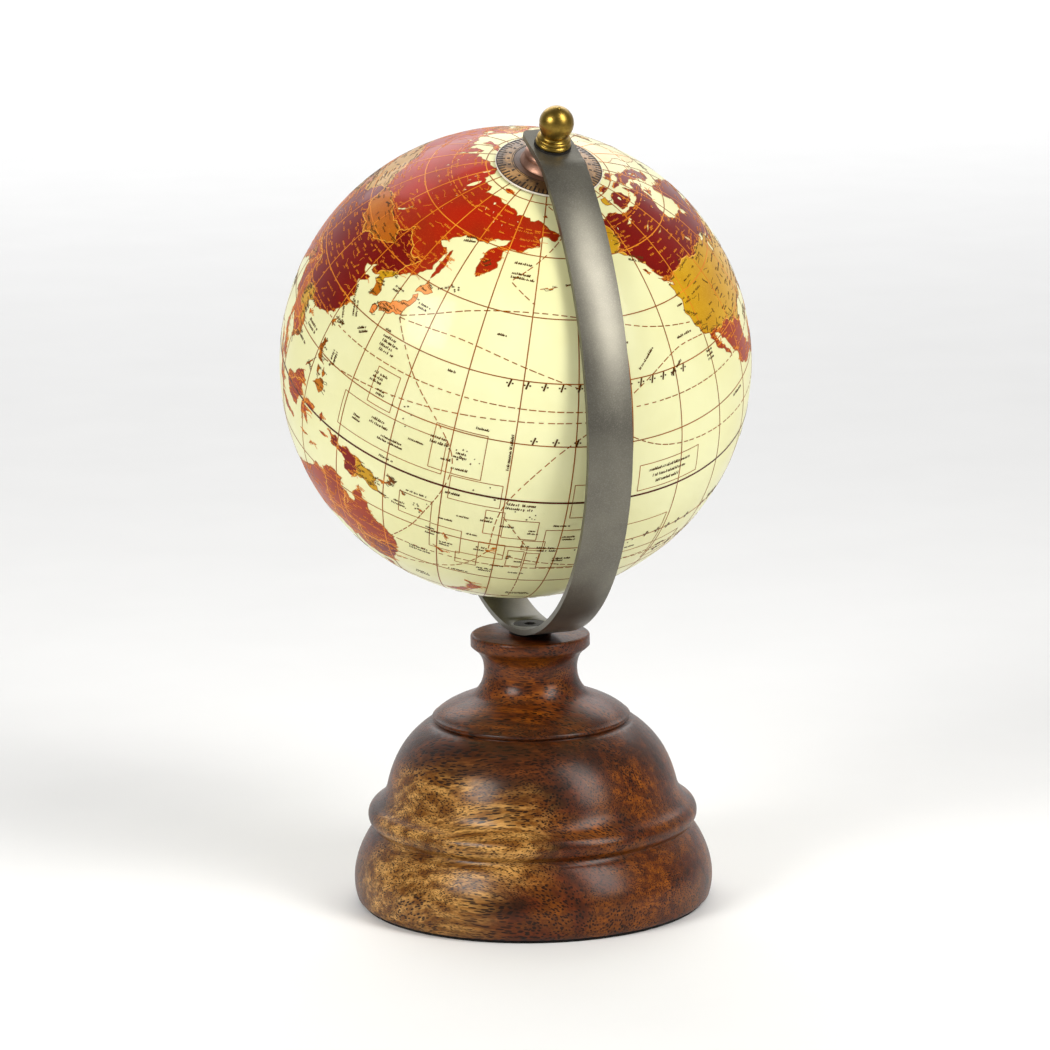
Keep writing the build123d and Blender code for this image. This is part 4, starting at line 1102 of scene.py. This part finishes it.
class Pen(Strokes):
    """Strokes laid out on a small flat sheet, in millimetres, that touches the ball at one point."""

    def start(self, lon, lat, heading=0.0):
        """Puts the sheet down at a place. heading turns its rows anticlockwise, in degrees."""
        here = directions([(lon, lat)])[0]
        east = directions([(lon + 90, 0)])[0]
        north = np.cross(here, east)
        turn = math.radians(heading)
        self.out = here
        self.right = east * math.cos(turn) + north * math.sin(turn)
        self.up = np.cross(here, self.right)

    def dab(self, x0, y0, x1, y1, width):
        """A stroke on the sheet from (x0, y0) to (x1, y1)."""
        length = math.hypot(x1 - x0, y1 - y0)
        side_x, side_y = -(y1 - y0) / length * width / 2, (x1 - x0) / length * width / 2
        flat = [
            (x0 - side_x, y0 - side_y), (x1 - side_x, y1 - side_y),
            (x1 + side_x, y1 + side_y), (x0 + side_x, y0 + side_y),
        ]
        self.quad([self.out * SHELL_OUTER + self.right * x + self.up * y for x, y in flat])

    def scribble(self, x, y, height, draw, weight):
        """A meaningless mark of leaning strokes and a dot, for one printed character. Returns its width."""
        wide = height * draw.uniform(0.34, 0.5)
        lean = height * draw.uniform(0.08, 0.2)
        top = y + height * draw.choice((0.6, 0.7, 0.9))
        self.dab(x, y, x + lean, top, weight)
        if draw.random() < 0.55:
            self.dab(x + wide, y, x + wide + lean, y + height * draw.choice((0.45, 0.6)), weight)
        if draw.random() < 0.6:
            dot = y + height * draw.uniform(0.1, 0.5)
            self.dab(x + wide * 0.3, dot, x + wide * 0.3 + weight, dot, weight * 0.9)
        return wide * 1.5

    def ornament(self, height, weight):
        """A leaning bar between two dots, for one of the large spaced-out characters."""
        lean = height * 0.3
        self.dab(-lean / 2, -height / 2, lean / 2, height / 2, weight)
        self.dab(-height * 0.36 - weight / 2, 0, -height * 0.36 + weight / 2, 0, weight * 0.8)
        self.dab(height * 0.36 - weight / 2, 0, height * 0.36 + weight / 2, 0, weight * 0.8)


def marks():
    """Rows of meaningless marks where a map has its names, spaced-out large ones, a legend and dots."""
    draw = random.Random(11)
    pen = Pen()
    for lon, lat, rows, count, height, heading in LABELS:
        pen.start(lon, lat, heading)
        for row in range(rows):
            number = count - draw.randrange(0, 3)
            x = -number * height * 0.33 + draw.uniform(-0.5, 0.5)
            y = (rows / 2 - row - 1) * height * 1.45
            for place in range(number):
                if place and draw.random() < 0.12:
                    x += height * 0.5
                x += pen.scribble(x, y, height, draw, LABEL_WEIGHT)
    for lon, lat, count, spacing, height in BANNERS:
        for place in range(count):
            pen.start(lon + place * spacing, lat)
            pen.ornament(height, BANNER_WEIGHT)
    left, bottom, right, top = LEGEND
    pen.start((left + right) / 2, (bottom + top) / 2)
    for row in range(3):
        x = -7.0 + 1.2 * row
        while x < 6.6 - 1.6 * row:
            x += pen.scribble(x, 1.5 - 1.9 * row, 0.95, draw, LEGEND_WEIGHT)
    for lon, lat, count, reach in ISLETS:
        for _ in range(count):
            pen.start(lon + draw.gauss(0, reach / 2), lat + draw.gauss(0, reach / 2.4), draw.uniform(0, 90))
            size = draw.uniform(0.28, 0.5)
            pen.dab(-size / 2, 0, size / 2, 0, size * 0.8)
    return pen


def land_marks(atlas):
    """Short strokes over the countries for names and rivers, gold on the dark inks, brown on the light."""
    draw = random.Random(5)
    gold, brown = Pen(), Pen()
    on_dark = ("crimson", "maroon", "red", "orange")
    corners = atlas.points[np.array(atlas.triangles)]
    middles = corners.mean(axis=1)
    for index, (lon, lat) in enumerate(middles):
        if draw.random() > 0.12 + 0.34 * math.cos(math.radians(lat)) or lat < -62:
            continue
        colour = atlas.colours[index]
        if colour == "ivory":
            continue
        pen = gold if colour in on_dark else brown
        pen.start(lon, lat, draw.choice((0, 0, 0, draw.uniform(-80, 80))))
        if draw.random() < 0.72:
            height = draw.uniform(0.5, 0.75)
            x = -height
            for _ in range(draw.randint(3, 6)):
                x += pen.scribble(x, 0, height, draw, LAND_WEIGHT)
        else:
            x, y = 0.0, 0.0
            for _ in range(draw.randint(2, 5)):
                step_x, step_y = draw.uniform(0.3, 0.8), draw.uniform(-0.35, 0.35)
                pen.dab(x, y, x + step_x, y + step_y, RIVER_WEIGHT)
                x, y = x + step_x, y + step_y
    return gold, brown


def routes():
    """The date line and sea routes, dashed, and the thin frames round island groups."""
    dashed = Strokes()
    for text in (DATE_LINE, *ROUTES):
        line = read_line(text)
        if text == DATE_LINE:
            line = [(lon % 360, lat) for lon, lat in line]
            fine = [p for a, b in zip(line, line[1:]) for p in run_between(a, b, 0.5)]
        else:
            fine = smooth_run(line)
        dashed.trail(fine, ROUTE_WIDTH, ROUTE_DASH, ROUTE_GAP)
    for left, bottom, right, top in (*FRAMES, LEGEND):
        corners = [(left, bottom), (right, bottom), (right, top), (left, top), (left, bottom)]
        for a, b in zip(corners, corners[1:]):
            dashed.trail(run_between(a, b, 1.5), FRAME_WIDTH)
    return dashed


def smooth_run(line):
    """Close points on a Catmull-Rom curve through a few (lon, lat) points."""
    ends = [line[0], *line, line[-1]]
    fine = []
    for a, b, c, d in zip(ends, ends[1:], ends[2:], ends[3:]):
        a, b, c, d = (np.array(point) for point in (a, b, c, d))
        count = max(2, int(np.linalg.norm(c - b) / 0.5))
        for i in range(count):
            t = i / count
            place = 2 * b + (c - a) * t + (2 * a - 5 * b + 4 * c - d) * t**2 + (3 * b - a - 3 * c + d) * t**3
            fine.append(tuple(place / 2))
    fine.append(tuple(line[-1]))
    return fine


# ---------------------------------------------------------------- the ball


def half_ball(name, first, last, material, node):
    """Half of the ball's shell, from one latitude to another, hollow inside and open at its pole hole."""
    lats = np.linspace(first, last, BALL_ROWS + 1)
    lons = np.arange(BALL_COLUMNS) * 360 / BALL_COLUMNS
    grid = directions([(lon, lat) for lat in lats for lon in lons])
    faces = []
    for row in range(BALL_ROWS):
        for column in range(BALL_COLUMNS):
            a = row * BALL_COLUMNS + column
            b = row * BALL_COLUMNS + (column + 1) % BALL_COLUMNS
            faces.append((a, b, b + BALL_COLUMNS, a + BALL_COLUMNS))
    half = skin(name, grid, faces, (SHELL_INNER, SHELL_OUTER), material)
    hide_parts(node)


INKS = {
    "crimson": (srgb(170, 30, 4), srgb(150, 36, 6), srgb(196, 70, 14)),
    "maroon": (srgb(122, 14, 6), srgb(106, 10, 5), srgb(150, 40, 12)),
    "red": (srgb(160, 52, 14), srgb(138, 38, 10), srgb(190, 84, 24)),
    "orange": (srgb(190, 88, 12), srgb(172, 72, 10), srgb(214, 120, 30)),
    "amber": (srgb(188, 108, 12), srgb(172, 86, 8), srgb(214, 144, 34)),
    "gold": (srgb(206, 158, 22), srgb(190, 138, 12), srgb(222, 182, 60)),
    "tan": (srgb(198, 152, 72), srgb(182, 132, 56), srgb(212, 178, 104)),
    "coral": (srgb(238, 158, 88), srgb(230, 134, 62), srgb(244, 180, 116)),
    "ivory": (srgb(240, 226, 176), srgb(232, 212, 156), srgb(246, 238, 200)),
}
SEA_INK = (srgb(237, 236, 186), srgb(231, 228, 171))


def add_ball():
    """The shell that replaces the two plain hemispheres, and the whole printed map on it."""
    sea = lacquered_print("sea_print", *SEA_INK, roughness=0.32, mottle=0.03)
    hole = math.degrees(math.asin(POLE_HOLE / SHELL_OUTER))
    half_ball("ball_north", BALL_SEAM, 90 - hole, sea, "north_hemisphere")
    half_ball("ball_south", hole - 90, -BALL_SEAM, sea, "south_hemisphere")
    atlas = Atlas()
    land_pieces(atlas)
    border = Strokes()
    for a, b in atlas.borders:
        border.line(atlas.points[a], atlas.points[b], BORDER_WIDTH, 0.06)
    coast = Strokes()
    for a, b in atlas.coast:
        coast.line(atlas.points[a], atlas.points[b], COAST_WIDTH, 0.04)
    land, sea_lines, equator = grid_lines(atlas)
    gold, brown = land_marks(atlas)
    gold_ink = lacquered_print("line_gold", srgb(226, 140, 36), srgb(208, 112, 22))
    brown_ink = lacquered_print("line_brown", srgb(164, 92, 18), srgb(138, 74, 12))
    dark_ink = lacquered_print("line_umber", srgb(92, 30, 8), srgb(70, 22, 6))
    coast_ink = lacquered_print("line_coast", srgb(176, 112, 44), srgb(150, 86, 30))
    mark_ink = lacquered_print("mark_brown", srgb(92, 58, 14), srgb(72, 42, 10))
    border_ink = lacquered_print("line_border", srgb(240, 184, 76), srgb(224, 156, 48))
    border.piece("line_borders", PRINT_LINES, border_ink)
    coast.piece("line_coast", PRINT_LINES, coast_ink)
    land.piece("grid_over_land", PRINT_LINES, gold_ink)
    sea_lines.piece("grid_over_sea", PRINT_LINES, brown_ink)
    equator.piece("grid_equator", PRINT_MARKS, dark_ink)
    routes().piece("routes_and_frames", PRINT_LINES, brown_ink)
    marks().piece("marks_on_sea", PRINT_MARKS, mark_ink)
    gold.piece("marks_gold", PRINT_MARKS, gold_ink)
    brown.piece("marks_brown", PRINT_MARKS, mark_ink)


# ---------------------------------------------------------------- the hour dial's scale


def add_dial_scale():
    """Tick bars round the dial, long for whole hours, with dots, two fine rings and a rim line."""
    scale = Strokes()
    outer = 90 - math.degrees(math.asin(DIAL_SCALE_OUTER / DIAL_DOME))
    inner = 90 - math.degrees(math.asin(DIAL_SCALE_INNER / DIAL_DOME))
    reach = inner - outer
    for lon in range(0, 360, 5):
        whole = lon % 15 == 0
        length, width = (0.5, 0.5) if whole else (0.36, 0.34)
        scale.line((lon, outer), (lon, outer + reach * length), width)
        if whole:
            dot = outer + reach * 0.7
            scale.line((lon - 1.5, dot), (lon + 1.5, dot), 0.75)
    for lat, width in ((inner, 0.2), (outer - 0.02, 0.16), (outer + reach * 0.9, 0.12)):
        for lon in range(0, 360, 6):
            scale.line((lon, lat), (lon + 6, lat), width, 0.01)
    ink = fibre("dial_ink", srgb(28, 20, 14), srgb(52, 38, 26), 0.45, 3.0, 0.004)
    scale.piece("dial_scale", PRINT_DIAL, ink, "dial", "dial_print")


# ---------------------------------------------------------------- CAD nodes: finish and softened edges


def dress(node, material, bevel=0.0):
    """Gives a CAD node its material and joins its seams. A bevel, in millimetres, softens its sharp edges."""
    obj = frame["nodes"][node]
    obj.data.materials.clear()
    obj.data.materials.append(material)
    weld = obj.modifiers.new("weld", "WELD")
    weld.merge_threshold = 1e-6
    if bevel:
        rounded = obj.modifiers.new("bevel", "BEVEL")
        rounded.width = bevel * MM
        rounded.segments = 2
        rounded.limit_method = "ANGLE"
        rounded.angle_limit = math.radians(40)
        rounded.harden_normals = False


def add_finishes():
    """A material for every CAD node that shows or could show."""
    axis_turn = (0.0, -math.atan2(POLE.x, POLE.z), 0.0)
    brass = lathed_metal("aged_brass", srgb(158, 130, 58), srgb(84, 64, 24), 0.31, axis_turn)
    copper = lathed_metal("copper_plate", srgb(176, 134, 114), srgb(96, 68, 56), 0.36, axis_turn, 0.4)
    steel = brushed_steel("zinc_steel", srgb(176, 178, 180), 0.38)
    dark_steel = paint("dark_steel", srgb(52, 50, 48), srgb(30, 29, 28), 0.5, 0.7, 0.04)
    pewter = paint("pewter_paint", srgb(118, 115, 104), srgb(104, 101, 92), 0.36)
    felt = fibre("black_felt", srgb(18, 17, 17), srgb(44, 42, 40), 0.95, 2.4, 0.2)
    washer = fibre("black_fibre", srgb(20, 19, 18), srgb(46, 40, 36), 0.7, 3.0, 0.03)
    nylon = fibre("nylon", srgb(224, 220, 206), srgb(236, 233, 222), 0.45, 1.0, 0.01)
    plastic = fibre("shell_plastic", srgb(208, 204, 190), srgb(222, 219, 208), 0.5, 0.8, 0.01)
    dress("base_body", turned_wood())
    dress("base_pad", felt)
    dress("arm_spacer", dark_steel, 0.1)
    dress("meridian_arm", pewter, 0.22)
    dress("base_bolt", dark_steel, 0.1)
    for node in ("base_washer", "base_lock_washer", "base_nut", "axle_rod", "north_jam_nut"):
        dress(node, steel, 0.08)
    dress("north_ferrule", copper, 0.08)
    dress("finial_washers", washer)
    dress("north_finial", brass)
    dress("south_finial", brass)
    for node in ("south_spacer", "north_bushing", "south_bushing"):
        dress(node, nylon, 0.08)
    dress("south_friction_washer", washer)
    dress("equator_ring", plastic)
    dress("time_dial", dial_card())


add_camera()
add_studio()
add_ball()
add_dial_scale()
add_finishes()
